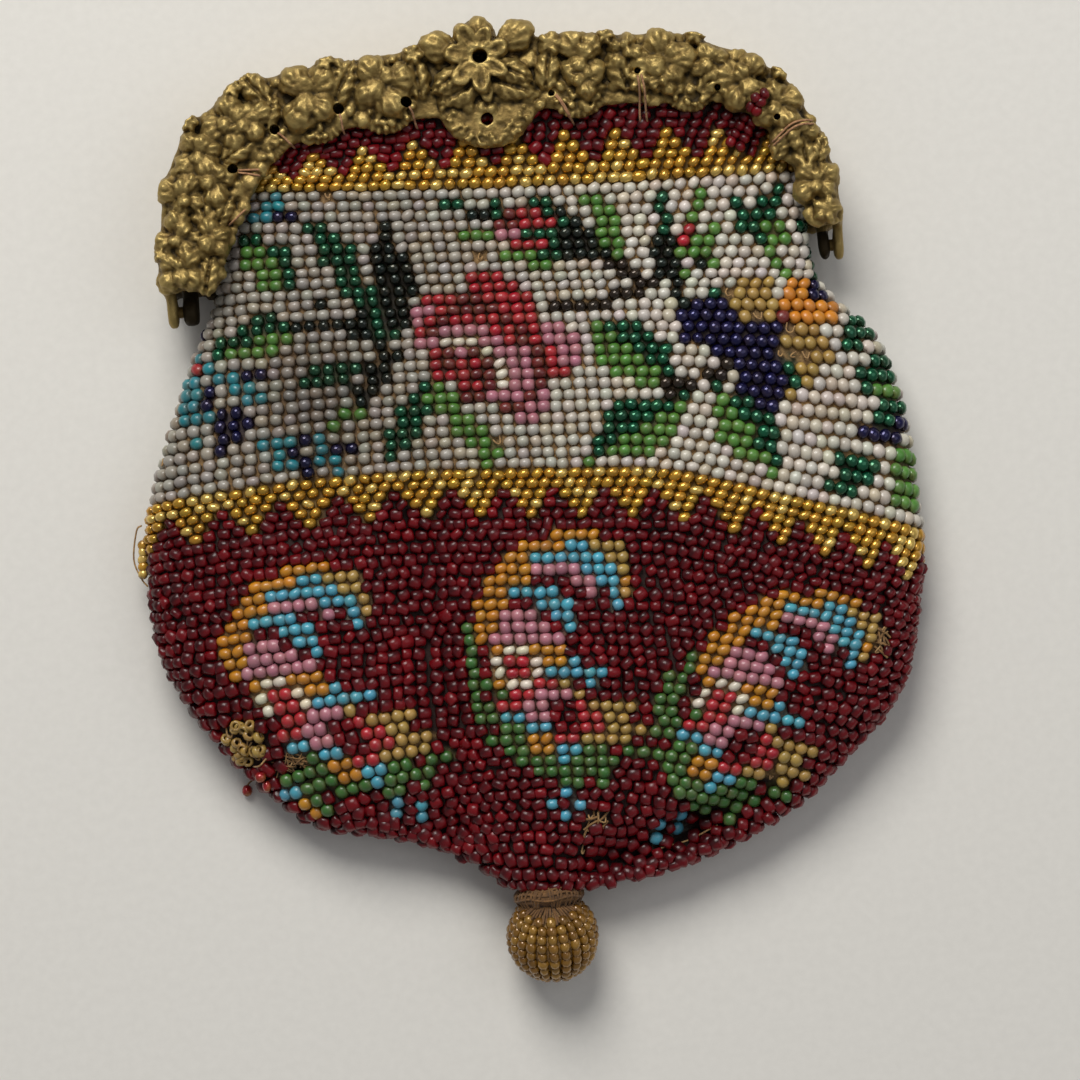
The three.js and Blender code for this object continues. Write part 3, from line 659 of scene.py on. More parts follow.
def makeBeadTree():
    inputs = {"Geometry": "Geometry", "Bead Form": "Object", "Bead Scale": "Float", "Glass": "Material"}
    tree, nodes, links, start, end = newTree("strungBeads", inputs)
    form = addNode(nodes, "GeometryNodeObjectInfo", {"transform_space": "ORIGINAL"})
    turn = addNode(nodes, "GeometryNodeInputNamedAttribute", {"data_type": "FLOAT_VECTOR"}, Name="turn")
    size = addNode(nodes, "GeometryNodeInputNamedAttribute", {"data_type": "FLOAT_VECTOR"}, Name="size")
    rotation = nodes.new("FunctionNodeEulerToRotation")
    scaled = addNode(nodes, "ShaderNodeVectorMath", {"operation": "SCALE"})
    placed = nodes.new("GeometryNodeInstanceOnPoints")
    realized = nodes.new("GeometryNodeRealizeInstances")
    glass = nodes.new("GeometryNodeSetMaterial")
    links.new(start.outputs["Bead Form"], form.inputs["Object"])
    links.new(start.outputs["Bead Scale"], scaled.inputs["Scale"])
    links.new(size.outputs["Attribute"], scaled.inputs["Vector"])
    links.new(turn.outputs["Attribute"], rotation.inputs["Euler"])
    links.new(start.outputs["Geometry"], placed.inputs["Points"])
    links.new(form.outputs["Geometry"], placed.inputs["Instance"])
    links.new(rotation.outputs["Rotation"], placed.inputs["Rotation"])
    links.new(scaled.outputs["Vector"], placed.inputs["Scale"])
    links.new(placed.outputs["Instances"], realized.inputs["Geometry"])
    links.new(realized.outputs["Geometry"], glass.inputs["Geometry"])
    links.new(start.outputs["Glass"], glass.inputs["Material"])
    links.new(glass.outputs["Geometry"], end.inputs["Geometry"])
    return tree


beadTree = makeBeadTree()
formObjects = {name: makeBeadForm(name) for name in beadForms}


def setInput(modifier, name, value):
    for item in modifier.node_group.interface.items_tree:
        if item.item_type == "SOCKET" and item.in_out == "INPUT" and item.name == name:
            modifier[item.identifier] = value


def eulerOf(along, out):
    # columns of the turning matrix: along the hole, sideways, out of the cloth
    out = unit(out - (out * along).sum(-1, keepdims=True) * along)
    side = np.cross(out, along)
    x = np.arctan2(side[:, 2], out[:, 2])
    y = -np.arcsin(np.clip(along[:, 2], -1, 1))
    z = np.arctan2(along[:, 1], along[:, 0])
    return np.stack([x, y, z], -1)


# bake map of the beads: corners in a row of a cell, and the part of the cell they take
bakeMap = {"across": 7, "margin": 0.15, "span": 0.7}


def bakeCells(mesh, count):
    # one small square of the bake map for each bead
    loops = len(mesh.loops) // count
    order, across = np.arange(loops), bakeMap["across"]
    corner = np.stack([(order % across) / across, (order // across) / (loops / across + 1)], -1)
    wide = math.ceil(math.sqrt(count))
    cell = np.repeat(np.arange(count), loops)
    base = np.stack([cell % wide, cell // wide], -1)
    place = (base + bakeMap["margin"] + bakeMap["span"] * np.tile(corner, (count, 1))) / wide
    layer = mesh.uv_layers.new(name="OFBake")
    layer.data.foreach_set("uv", place.astype(np.float32).ravel())


def stringBeads(name, at, along, out, size, tint, form, glass):
    seeds = bpy.data.meshes.new(name + "Places")
    seeds.from_pydata((at * mm).tolist(), [], [])
    putAttribute(seeds, "turn", "FLOAT_VECTOR", eulerOf(along, out))
    putAttribute(seeds, "size", "FLOAT_VECTOR", size)
    putAttribute(seeds, "tint", "FLOAT_COLOR", np.concatenate([tint, np.ones((len(tint), 1))], 1))
    putAttribute(seeds, "chance", "FLOAT", dice.random(len(at)))
    carrier = linkObject(name + "Places", seeds)
    modifier = carrier.modifiers.new("beads", "NODES")
    modifier.node_group = beadTree
    setInput(modifier, "Bead Form", formObjects[form])
    setInput(modifier, "Bead Scale", mm)
    setInput(modifier, "Glass", glass)
    mesh = plainMesh(carrier)
    mesh.name = name
    dropObject(carrier)
    for spare in ("turn", "size"):
        if spare in mesh.attributes:
            mesh.attributes.remove(mesh.attributes[spare])
    bakeCells(mesh, len(at))
    return linkObject(name, mesh)


# what all the glass shares: grime, the coat, and the side that gathers light, away from the lamp
glassLook = {
    "grimeDetail": 4.0, "grimeRough": 0.6, "dustSpan": (0.35, 0.75), "coatRough": 0.12, "ior": 1.52,
    "glowSide": (0.5, -0.7, 0.2), "glow": 0.0, "glowTint": (255, 255, 255),
}
glassKinds = {
    "chalk": {
        "grimeScale": 1500.0, "dust": 0.24, "dustTint": (150, 122, 92), "rough": (0.26, 0.48),
        "holeShade": 0.55, "holeTint": (96, 70, 42), "metallic": 0.0, "coat": 0.22,
    },
    "lined": {
        "grimeScale": 1900.0, "dust": 0.2, "dustTint": (120, 96, 62), "rough": (0.14, 0.32),
        "holeShade": 0.6, "holeTint": (50, 34, 16), "metallic": 0.6, "coat": 0.4,
    },
    "amber": {
        "grimeScale": 1500.0, "dust": 0.4, "dustTint": (120, 84, 36), "rough": (0.12, 0.32),
        "holeShade": 0.7, "holeTint": (84, 54, 16), "metallic": 0.25, "coat": 0.35,
        "glow": 0.3, "glowTint": (214, 160, 70),
    },
    "garnet": {
        "grimeScale": 1300.0, "dust": 0.3, "dustTint": (112, 34, 40), "rough": (0.18, 0.42),
        "holeShade": 0.6, "holeTint": (50, 4, 8), "metallic": 0.0, "coat": 0.0, "ior": 1.42,
        "glow": 0.75, "glowTint": (150, 14, 25),
    },
}


def makeGlass(name, settings):
    material, nodes, links, shader = newMaterial(name)
    tint = addNode(nodes, "ShaderNodeAttribute", {"attribute_name": "tint"})
    hole = addNode(nodes, "ShaderNodeAttribute", {"attribute_name": "hole"})
    coords = addNode(nodes, "ShaderNodeTexCoord")
    grime = addNode(nodes, "ShaderNodeTexNoise", Scale=settings["grimeScale"],
                    Detail=settings["grimeDetail"], Roughness=settings["grimeRough"])
    links.new(coords.outputs["Object"], grime.inputs["Vector"])
    clean, dustiest = settings["dustSpan"]
    dust = addRamp(nodes, [(clean, (0, 0, 0)), (dustiest, (255, 255, 255))])
    links.new(grime.outputs["Fac"], dust.inputs["Fac"])
    chance = addNode(nodes, "ShaderNodeAttribute", {"attribute_name": "chance"})
    dusty = addMath(nodes, links, "MULTIPLY", dust.outputs["Color"], settings["dust"])
    dusty = addMath(nodes, links, "MULTIPLY", dusty, chance.outputs["Fac"])
    mixed = addMix(nodes, links, "MIX", dusty, tint.outputs["Color"], (*linear(settings["dustTint"]), 1))
    # towards the hole: painted shade, in a colour that is partly the thread's own
    atHole = addMath(nodes, links, "MULTIPLY", hole.outputs["Fac"], settings["holeShade"])
    shaded = addMix(nodes, links, "MIX", atHole, mixed, (*linear(settings["holeTint"]), 1))
    # clear glass gathers light on the side away from the lamp
    surface = addNode(nodes, "ShaderNodeNewGeometry")
    away = addNode(nodes, "ShaderNodeVectorMath", {"operation": "DOT_PRODUCT"})
    links.new(surface.outputs["Normal"], away.inputs[0])
    away.inputs[1].default_value = settings["glowSide"]
    glow = addNode(nodes, "ShaderNodeMapRange")
    glow.inputs["To Max"].default_value = settings["glow"]
    links.new(away.outputs["Value"], glow.inputs["Value"])
    lit = addMix(nodes, links, "MIX", glow.outputs["Result"], shaded, (*linear(settings["glowTint"]), 1))
    links.new(lit, shader.inputs["Base Color"])
    rough = addNode(nodes, "ShaderNodeMapRange")
    rough.inputs["To Min"].default_value, rough.inputs["To Max"].default_value = settings["rough"]
    links.new(grime.outputs["Fac"], rough.inputs["Value"])
    links.new(rough.outputs["Result"], shader.inputs["Roughness"])
    shader.inputs["Metallic"].default_value = settings["metallic"]
    shader.inputs["Coat Weight"].default_value = settings["coat"]
    shader.inputs["Coat Roughness"].default_value = settings["coatRough"]
    shader.inputs["IOR"].default_value = settings["ior"]
    return material


glasses = {kind: makeGlass(kind + "Glass", {**glassLook, **own}) for kind, own in glassKinds.items()}

# how bead colours vary: spread of brightness and hue, and shares of cream, ruby and gilt ones
tintPlay = {
    "bright": 0.09, "hue": 0.03, "garnetUneven": 2.4, "darkest": 0.001,
    "cream": (1.0, 0.93, 0.84), "creamShare": 0.16, "gilt": (222, 186, 96), "giltShare": 0.3,
    "ruby": (108, 8, 16), "rubyBright": 0.1, "rubyShare": 0.2,
}


def beadTintsOf(codes):
    count = len(codes)
    tint = np.array([linear(beadTints[c][1]) for c in codes])
    bright = dice.normal(1, tintPlay["bright"], count)[:, None]
    hue = dice.normal(0, tintPlay["hue"], (count, 3))
    codes = np.array(codes)
    uneven = np.where(codes == "M", tintPlay["garnetUneven"], 1)[:, None]
    tint = np.clip(tint * (1 + uneven * (bright - 1)) * (1 + hue), tintPlay["darkest"], 1)
    cream = (codes == "W") & (dice.random(count) < tintPlay["creamShare"])
    tint[cream] *= tintPlay["cream"]
    ruby = (codes == "M") & (dice.random(count) < tintPlay["rubyShare"])
    tint[ruby] = linear(tintPlay["ruby"]) * dice.normal(1, tintPlay["rubyBright"], (ruby.sum(), 1))
    gilt = (codes == "Y") & (dice.random(count) < tintPlay["giltShare"])
    tint[gilt] = linear(tintPlay["gilt"])
    return tint


def paintedShadeOf(mine, at):
    # painted shade on the beads of the band, by x and in the hollow; garnets darker by x
    keep = lightKept(at)
    white = np.array([b["code"] == "W" for b in mine])
    band = np.array([b["front"] and 0 <= b["row"] <= knitting["whiteTo"] for b in mine])
    garnet = np.array([b["front"] and b["code"] == "M" for b in mine])
    others = np.where(garnet, np.interp(at[:, 0], *wornAndShaded["garnetLight"]), 1)
    return np.where(band, np.where(white, keep, keep ** wornAndShaded["paintedShadeOthers"]), others)[:, None]


def makeBeadwork():
    for front in (True, False):
        for family, settings in beadFamilies.items():
            mine = [b for b in beads if b["front"] == front and beadTints[b["code"]][0] == family]
            at, along, out = (np.array([b[key] for b in mine]) for key in ("at", "along", "out"))
            count = len(mine)
            shape = np.array([beadShapes.get(b["code"], (1, 1, 0)) for b in mine], float)
            tilt = knitting["tilt"] + shape[:, 2] + knitting["tiltAcross"] * at[:, 0] / knitting["halfWide"]
            tilt = np.radians(tilt + dice.normal(0, settings["tiltLoose"], count))
            aside = [brickSide(b["row"]) * (b["row"] >= knitting["goreFrom"]) for b in mine]
            at = at + along * (settings["brick"] * np.array(aside))[:, None]
            side = np.cross(out, along)
            along = along * np.cos(tilt)[:, None] + side * np.sin(tilt)[:, None]
            along = unit(along + out * dice.normal(0, knitting["poke"], (count, 1)))
            at = at - out * (pouch["beadSink"] + dice.normal(0, knitting["sinkLoose"], (count, 1)))
            at = at + dice.normal(0, settings["jitter"], at.shape)
            at[:, 2] = np.maximum(at[:, 2], knitting["lowest"])
            stretch = np.array([b["drop"] for b in mine]) / knitting["rowPitch"]
            stretch = np.clip(stretch, *knitting["stretch"])
            oval = np.interp(at[:, 0], *settings["oval"])
            long, wide = settings["long"] * shape[:, 0] * oval, settings["wide"] * shape[:, 1] / oval
            size = np.stack([long, wide * stretch, wide], -1)
            size = size * (1 + dice.normal(0, settings["loose"], (count, 3)))
            form = settings["form"] if front else "plain"
            name = family + ("Front" if front else "Back") + "Beads"
            # bead colours darkened by the painted shade
            tint = np.clip(beadTintsOf([b["code"] for b in mine]) * paintedShadeOf(mine, at), 0, 1)
            piece = stringBeads(name, at, along, out, size, tint, form, glasses[family])
            finishPiece(piece)
            print(name, count, "beads,", len(piece.data.polygons), "faces")


makeBeadwork()

# the knitted ground under the beads, a thin shell open at the mouth
ground = {
    "rowStep": 0.5, "sectors": 200, "lastRing": 63.7, "lowest": 0.3,
    "thread": (184, 146, 92), "shade": (108, 78, 46), "fibreScale": 2600.0,
    # sunk deeper in folds past a depth, so that it stays under the beads, and from a row on to the point
    "foldSink": 0.25, "foldDepth": 1.2, "pointSink": 0.7, "pointFrom": 60,
    # how much each bead darkens the thread under it, as painted shade tinted by its glass; white ones leave
    # it pale outside the band's painted shade
    "beadShadeShare": {
        "M": 0.97, "Y": 0.93, "D": 0.92, "R": 0.88, "N": 0.9, "E": 0.9, "B": 0.94, "X": 0.8, "L": 0.75,
        "G": 0.75, "P": 0.75, "T": 0.6, "S": 0.6, "O": 0.6, "A": 0.6, "K": 0.4,
    },
    # depth of the painted bead shade; then depth, share and most of the band's painted shade under white
    # beads
    "beadShadeDepth": 0.22, "paintedShadeDepth": 0.35, "paintedShadeShare": 1.2, "paintedShadeMost": 0.9,
}


def groundPoints(rows):
    outer, inner = [], []
    for row in rows:
        ring = pouchRing(min(row, ground["lastRing"]))
        total = ring["arc"][-1] - ring["arc"][0]
        arc = ring["arc"][0] + total * np.arange(ground["sectors"]) / ground["sectors"]
        read = readRing(ring, arc)
        fold = foldRise(read["at"][:, 0], read["at"][:, 1])
        deep = pouch["groundSink"] - ground["foldSink"] * np.minimum(0, fold + ground["foldDepth"])[:, None]
        toPoint = max(0, row - ground["pointFrom"])
        deep = deep + ground["pointSink"] * toPoint / (pointRow - ground["pointFrom"])
        outer.append(read["at"] - read["out"] * deep)
        inner.append(read["at"] - read["out"] * (deep + pouch["groundThick"]))
    points = np.concatenate(outer + inner)
    points[:, 2] = np.maximum(points[:, 2], ground["lowest"])
    return points


def groundFaces(points, n, many):
    base = n * many
    grid = points[:base].reshape(n, many, 3)
    middle = (grid[:-1] + np.roll(grid, -1, 1)[1:]) / 2
    x, y, radius = wornAndShaded["hole"]
    gone = np.hypot(middle[..., 0] - x, middle[..., 1] - y) < radius
    gone &= middle[..., 2] > wornAndShaded["holeAbove"]
    faces = []
    for i in range(n - 1):
        for j in range(many):
            k = (j + 1) % many
            a, b, c, d = i * many + j, i * many + k, (i + 1) * many + k, (i + 1) * many + j
            if not gone[i, j]:
                faces += [(a, d, c, b), (base + a, base + b, base + c, base + d)]
                continue
            # the rim of the hole joins the outer and the inner side
            beside = ((i - 1, j, a, b), (i, k, b, c), (i + 1, j, c, d), (i, j - 1, d, a))
            faces += [(p, q, base + q, base + p) for row, column, p, q in beside if not gone[row, column]]
    for j in range(many):
        k = (j + 1) % many
        faces.append((j, k, base + k, base + j))
    last = (n - 1) * many
    faces.append([last + j for j in range(many)][::-1])
    faces.append([base + last + j for j in range(many)])
    return faces


def shadeGroundByBeads(mesh, points):
    # painted shade on the thread, tinted by the bead that lies nearest; under white beads, the band's
    # painted shade
    over = KDTree(len(beads))
    for i, bead in enumerate(beads):
        over.insert(bead["at"], i)
    over.balance()
    codes = [beads[over.find(point)[1]]["code"] for point in points[:len(points) // 2]] * 2
    paintedShade = np.clip(ground["paintedShadeShare"] - ground["paintedShadeShare"] * lightKept(points), 0, ground["paintedShadeMost"])
    stain = [ground["beadShadeShare"].get(code, share if code == "W" else 0) for code, share in zip(codes, paintedShade)]
    beadShadeTints = {code: ground["beadShadeDepth"] * linear(tint) for code, (_, tint) in beadTints.items()}
    beadShadeTints["W"] = ground["paintedShadeDepth"] * linear(ground["shade"])
    putAttribute(mesh, "stain", "FLOAT", stain)
    putAttribute(mesh, "beadShadeTint", "FLOAT_COLOR", [(*beadShadeTints[code], 1) for code in codes])


def makeGround():
    rows = np.arange(mouthRow, pointRow + 0.01, ground["rowStep"])
    points = groundPoints(rows)
    mesh = makeMesh("knitGround", points, groundFaces(points, len(rows), ground["sectors"]))
    shadeGroundByBeads(mesh, points)
    worked = bmesh.new()
    worked.from_mesh(mesh)
    bmesh.ops.delete(worked, geom=[v for v in worked.verts if not v.link_faces], context="VERTS")
    worked.to_mesh(mesh)
    worked.free()
    return mesh


threadLook = {
    "detail": 5.0, "coarse": 0.65, "shadeTo": 0.32, "lightFrom": 0.68, "rise": 0.6, "depth": 0.0002,
    "rough": 0.8, "sheen": 0.12,
}


def makeThreadMaterial(name, settings):
    material, nodes, links, shader = newMaterial(name)
    coords = addNode(nodes, "ShaderNodeTexCoord")
    fibre = addNode(nodes, "ShaderNodeTexNoise", Scale=settings["fibreScale"],
                    Detail=threadLook["detail"], Roughness=threadLook["coarse"])
    links.new(coords.outputs["Object"], fibre.inputs["Vector"])
    stops = [(threadLook["shadeTo"], settings["shade"]), (threadLook["lightFrom"], settings["thread"])]
    ramp = addRamp(nodes, stops)
    links.new(fibre.outputs["Fac"], ramp.inputs["Fac"])
    # painted shade from the beads, mixed over the thread's own colour
    stain = addNode(nodes, "ShaderNodeAttribute", {"attribute_name": "stain"})
    beadShadeTint = addNode(nodes, "ShaderNodeAttribute", {"attribute_name": "beadShadeTint"})
    beadShaded = addMix(nodes, links, "MIX", stain.outputs["Fac"], ramp.outputs["Color"], beadShadeTint.outputs["Color"])
    links.new(beadShaded, shader.inputs["Base Color"])
    bump = addNode(nodes, "ShaderNodeBump", Strength=threadLook["rise"], Distance=threadLook["depth"])
    links.new(fibre.outputs["Fac"], bump.inputs["Height"])
    links.new(bump.outputs["Normal"], shader.inputs["Normal"])
    shader.inputs["Roughness"].default_value = threadLook["rough"]
    shader.inputs["Sheen Weight"].default_value = threadLook["sheen"]
    return material


groundMesh = makeGround()
knittedThread = makeThreadMaterial("knittedThread", ground)
groundMesh.materials.append(knittedThread)
knitGround = finishPiece(linkObject("knitGround", groundMesh), ["pouch"])
print("knitted ground made")


# thread as a tube along each strand
def makeThreadTree():
    inputs = {"Geometry": "Geometry", "Thread Radius": "Float", "Thread Sides": "Int", "Yarn": "Material"}
    tree, nodes, links, start, end = newTree("laidThread", inputs)
    strand = nodes.new("GeometryNodeMeshToCurve")
    section = nodes.new("GeometryNodeCurvePrimitiveCircle")
    tube = nodes.new("GeometryNodeCurveToMesh")
    tube.inputs["Fill Caps"].default_value = True
    realized = nodes.new("GeometryNodeRealizeInstances")
    yarn = nodes.new("GeometryNodeSetMaterial")
    links.new(start.outputs["Geometry"], strand.inputs["Mesh"])
    links.new(start.outputs["Thread Radius"], section.inputs["Radius"])
    links.new(start.outputs["Thread Sides"], section.inputs["Resolution"])
    links.new(strand.outputs["Curve"], tube.inputs["Curve"])
    links.new(section.outputs["Curve"], tube.inputs["Profile Curve"])
    links.new(tube.outputs["Mesh"], realized.inputs["Geometry"])
    links.new(realized.outputs["Geometry"], yarn.inputs["Geometry"])
    links.new(start.outputs["Yarn"], yarn.inputs["Material"])
    links.new(yarn.outputs["Geometry"], end.inputs["Geometry"])
    return tree


threadTree = makeThreadTree()


def bend(points, steps=5):
    # a smooth strand through a few points
    keys = np.arange(len(points), dtype=float)
    table = {"at": keys, **{axis: [p[i] for p in points] for i, axis in enumerate("xyz")}}
    read = readTable(table, "at", np.linspace(0, keys[-1], int(steps * keys[-1]) + 1))
    return np.stack([read[axis] for axis in "xyz"], -1)


def layThreads(name, strands, radius, yarn, sides=6):
    points, edges, count = [], [], 0
    for strand in strands:
        points.append(strand)
        edges += [(count + i, count + i + 1) for i in range(len(strand) - 1)]
        count += len(strand)
    path = bpy.data.meshes.new(name + "Paths")
    path.from_pydata((np.concatenate(points) * mm).tolist(), edges, [])
    carrier = linkObject(name + "Paths", path)
    modifier = carrier.modifiers.new("thread", "NODES")
    modifier.node_group = threadTree
    setInput(modifier, "Thread Radius", radius * mm)
    setInput(modifier, "Thread Sides", sides)
    setInput(modifier, "Yarn", yarn)
    mesh = plainMesh(carrier)
    mesh.name = name
    dropObject(carrier)
    shadeSmooth(mesh)
    print(name, len(strands), "strands,", len(mesh.polygons), "faces")
    return finishPiece(linkObject(name, mesh))


# the drop: a beaded ball, tipped towards the viewer, under a collar of wound thread
drop = {
    "at": (-2.0, -52.65, 5.65), "tipDeg": 24.0, "beadRing": 5.0,
    # rings of beads, by their angle from the collar
    "rowDeg": 11.8, "firstDeg": 42.0, "lastDeg": 168.0,
    # beads of a ring by its radius, so that they stand in strings from top to bottom
    "strings": [(3.6, 22), (2.2, 14), (0, 7)], "tiltLoose": 0.14, "tintLoose": 0.1, "loose": 0.06,
    "tints": [(124, 87, 26), (136, 98, 33), (114, 78, 22), (148, 110, 41)], "bead": (0.68, 0.64, 0.64),
    "core": 4.75, "coreRings": 30, "coreSides": 40, "coreEnd": 0.02,
    # collar: along the axis from the ball's centre, radius
    "collar": [(6.4, 2.2), (6.15, 3.1), (5.6, 3.8), (5.0, 4.05), (4.5, 4.05), (4.0, 3.4)], "collarSides": 48,
    # thread wound about it in waves, and gathered down it: along, radius, share of the lean
    "wound": [(5.9, 3.55), (5.4, 3.98), (4.8, 4.15)], "woundSteps": 60, "wave": 0.16, "waves": 5,
    "gather": [(6.2, 3.05, 0), (5.6, 3.9, 0.3), (4.9, 4.15, 0.6), (3.9, 3.6, 1)],
    "gathers": 44, "gatherLoose": 0.2, "gatherLean": 0.08,
    # stitches fan out over the ball: first angle, least and most last angle, radius at both ends
    "stitches": 42, "stitchLoose": 0.15, "stitchDeg": (4, 35, 47), "stitchReach": (4.9, 5.25),
    "stitchSteps": 5, "threadRadius": 0.15,
    # the collar's thread colours: its own brown, darkened further as painted shade from the garnets above it
    "thread": (124, 86, 42), "shade": (70, 44, 18), "fibreScale": 1800.0,
}


def latheMesh(name, profile, sides, centre):
    # profile of (along, radius) turned about the Y direction
    points, faces = [], []
    turn = np.arange(sides) * 2 * math.pi / sides
    x, y, z = centre
    for along, radius in profile:
        points += [(x + radius * math.sin(a), y + along, z + radius * math.cos(a)) for a in turn]
    for i in range(len(profile) - 1):
        for j in range(sides):
            k = (j + 1) % sides
            faces.append((i * sides + j, i * sides + k, (i + 1) * sides + k, (i + 1) * sides + j))
    last = (len(profile) - 1) * sides
    faces.append(list(range(sides))[::-1])
    faces.append([last + j for j in range(sides)])
    mesh = makeMesh(name, points, faces)
    worked = bmesh.new()
    worked.from_mesh(mesh)
    bmesh.ops.recalc_face_normals(worked, faces=worked.faces)
    worked.to_mesh(mesh)
    worked.free()
    return mesh


def makeBall(centre, tip):
    at, along, out = [], [], []
    degrees = drop["firstDeg"]
    while degrees < drop["lastDeg"]:
        polar = math.radians(degrees)
        s, c = math.sin(polar), math.cos(polar)
        count = next(many for least, many in drop["strings"] if drop["beadRing"] * s > least)
        for j in range(count):
            a = 2 * math.pi * j / count
            direction = np.array([s * math.sin(a), c, s * math.cos(a)])
            at.append(centre + drop["beadRing"] * direction)
            out.append(direction)
            along.append((c * math.sin(a), -s, c * math.cos(a)))
        degrees += drop["rowDeg"]
    at.append(centre - (0, drop["beadRing"], 0))
    out.append((0, -1, 0))
    along.append((1, 0, 0))
    at, along, out = centre + (np.array(at) - centre) @ tip, np.array(along) @ tip, np.array(out) @ tip
    count = len(at)
    tilt = dice.normal(0, drop["tiltLoose"], count)[:, None]
    along = unit(along * np.cos(tilt) + np.cross(out, along) * np.sin(tilt))
    tint = np.array([linear(t) for t in drop["tints"]])[dice.integers(0, len(drop["tints"]), count)]
    tint = np.clip(tint * dice.normal(1, drop["tintLoose"], (count, 1)), 0, 1)
    size = np.array([drop["bead"]]) * (1 + dice.normal(0, drop["loose"], (count, 3)))
    ball = stringBeads("dropBeads", at, along, out, size, tint, "round", glasses["amber"])
    finishPiece(ball, ["drop_ball"])
    angles = np.linspace(drop["coreEnd"], math.pi - drop["coreEnd"], drop["coreRings"])
    profile = [(drop["core"] * math.cos(a), drop["core"] * math.sin(a)) for a in angles]
    core = latheMesh("dropCore", profile, drop["coreSides"], drop["at"])
    core.materials.append(knittedThread)
    finishPiece(linkObject("dropCore", core), ["drop_ball"])


def makeCollar(centre, tip):
    yarn = makeThreadMaterial("shadedCollarThread", drop)
    collar = latheMesh("dropCollar", drop["collar"], drop["collarSides"], drop["at"])
    collar.materials.append(yarn)
    finishPiece(linkObject("dropCollar", collar), ["drop_collar"])
    strands = []
    b = np.linspace(0, 2 * math.pi, drop["woundSteps"])
    for along, radius in drop["wound"]:
        wave = along + drop["wave"] * np.sin(drop["waves"] * b + along)
        strands.append(centre + np.stack([radius * np.sin(b), wave, radius * np.cos(b)], -1))
    for j in range(drop["gathers"]):
        b = 2 * math.pi * (j + dice.normal(0, drop["gatherLoose"])) / drop["gathers"]
        lean = dice.normal(0, drop["gatherLean"])
        path = [centre + (r * math.sin(b + lean * k), along, r * math.cos(b + lean * k))
                for along, r, k in drop["gather"]]
        strands.append(bend(path, 3))
    first, least, most = drop["stitchDeg"]
    reach = np.linspace(*drop["stitchReach"], drop["stitchSteps"])[:, None]
    for j in range(drop["stitches"]):
        b = 2 * math.pi * (j + dice.normal(0, drop["stitchLoose"])) / drop["stitches"]
        path = []
        for polar in np.radians(np.linspace(first, dice.uniform(least, most), drop["stitchSteps"])):
            path.append((math.sin(polar) * math.sin(b), math.cos(polar), math.sin(polar) * math.cos(b)))
        strands.append(bend(centre + (np.array(path) @ tip) * reach, 3))
    layThreads("collarThreads", strands, drop["threadRadius"], yarn)


def makeDrop():
    centre = np.array(drop["at"])
    tip = np.array(Matrix.Rotation(math.radians(drop["tipDeg"]), 3, "X")).T
    makeBall(centre, tip)
    makeCollar(centre, tip)


makeDrop()
print("drop made")

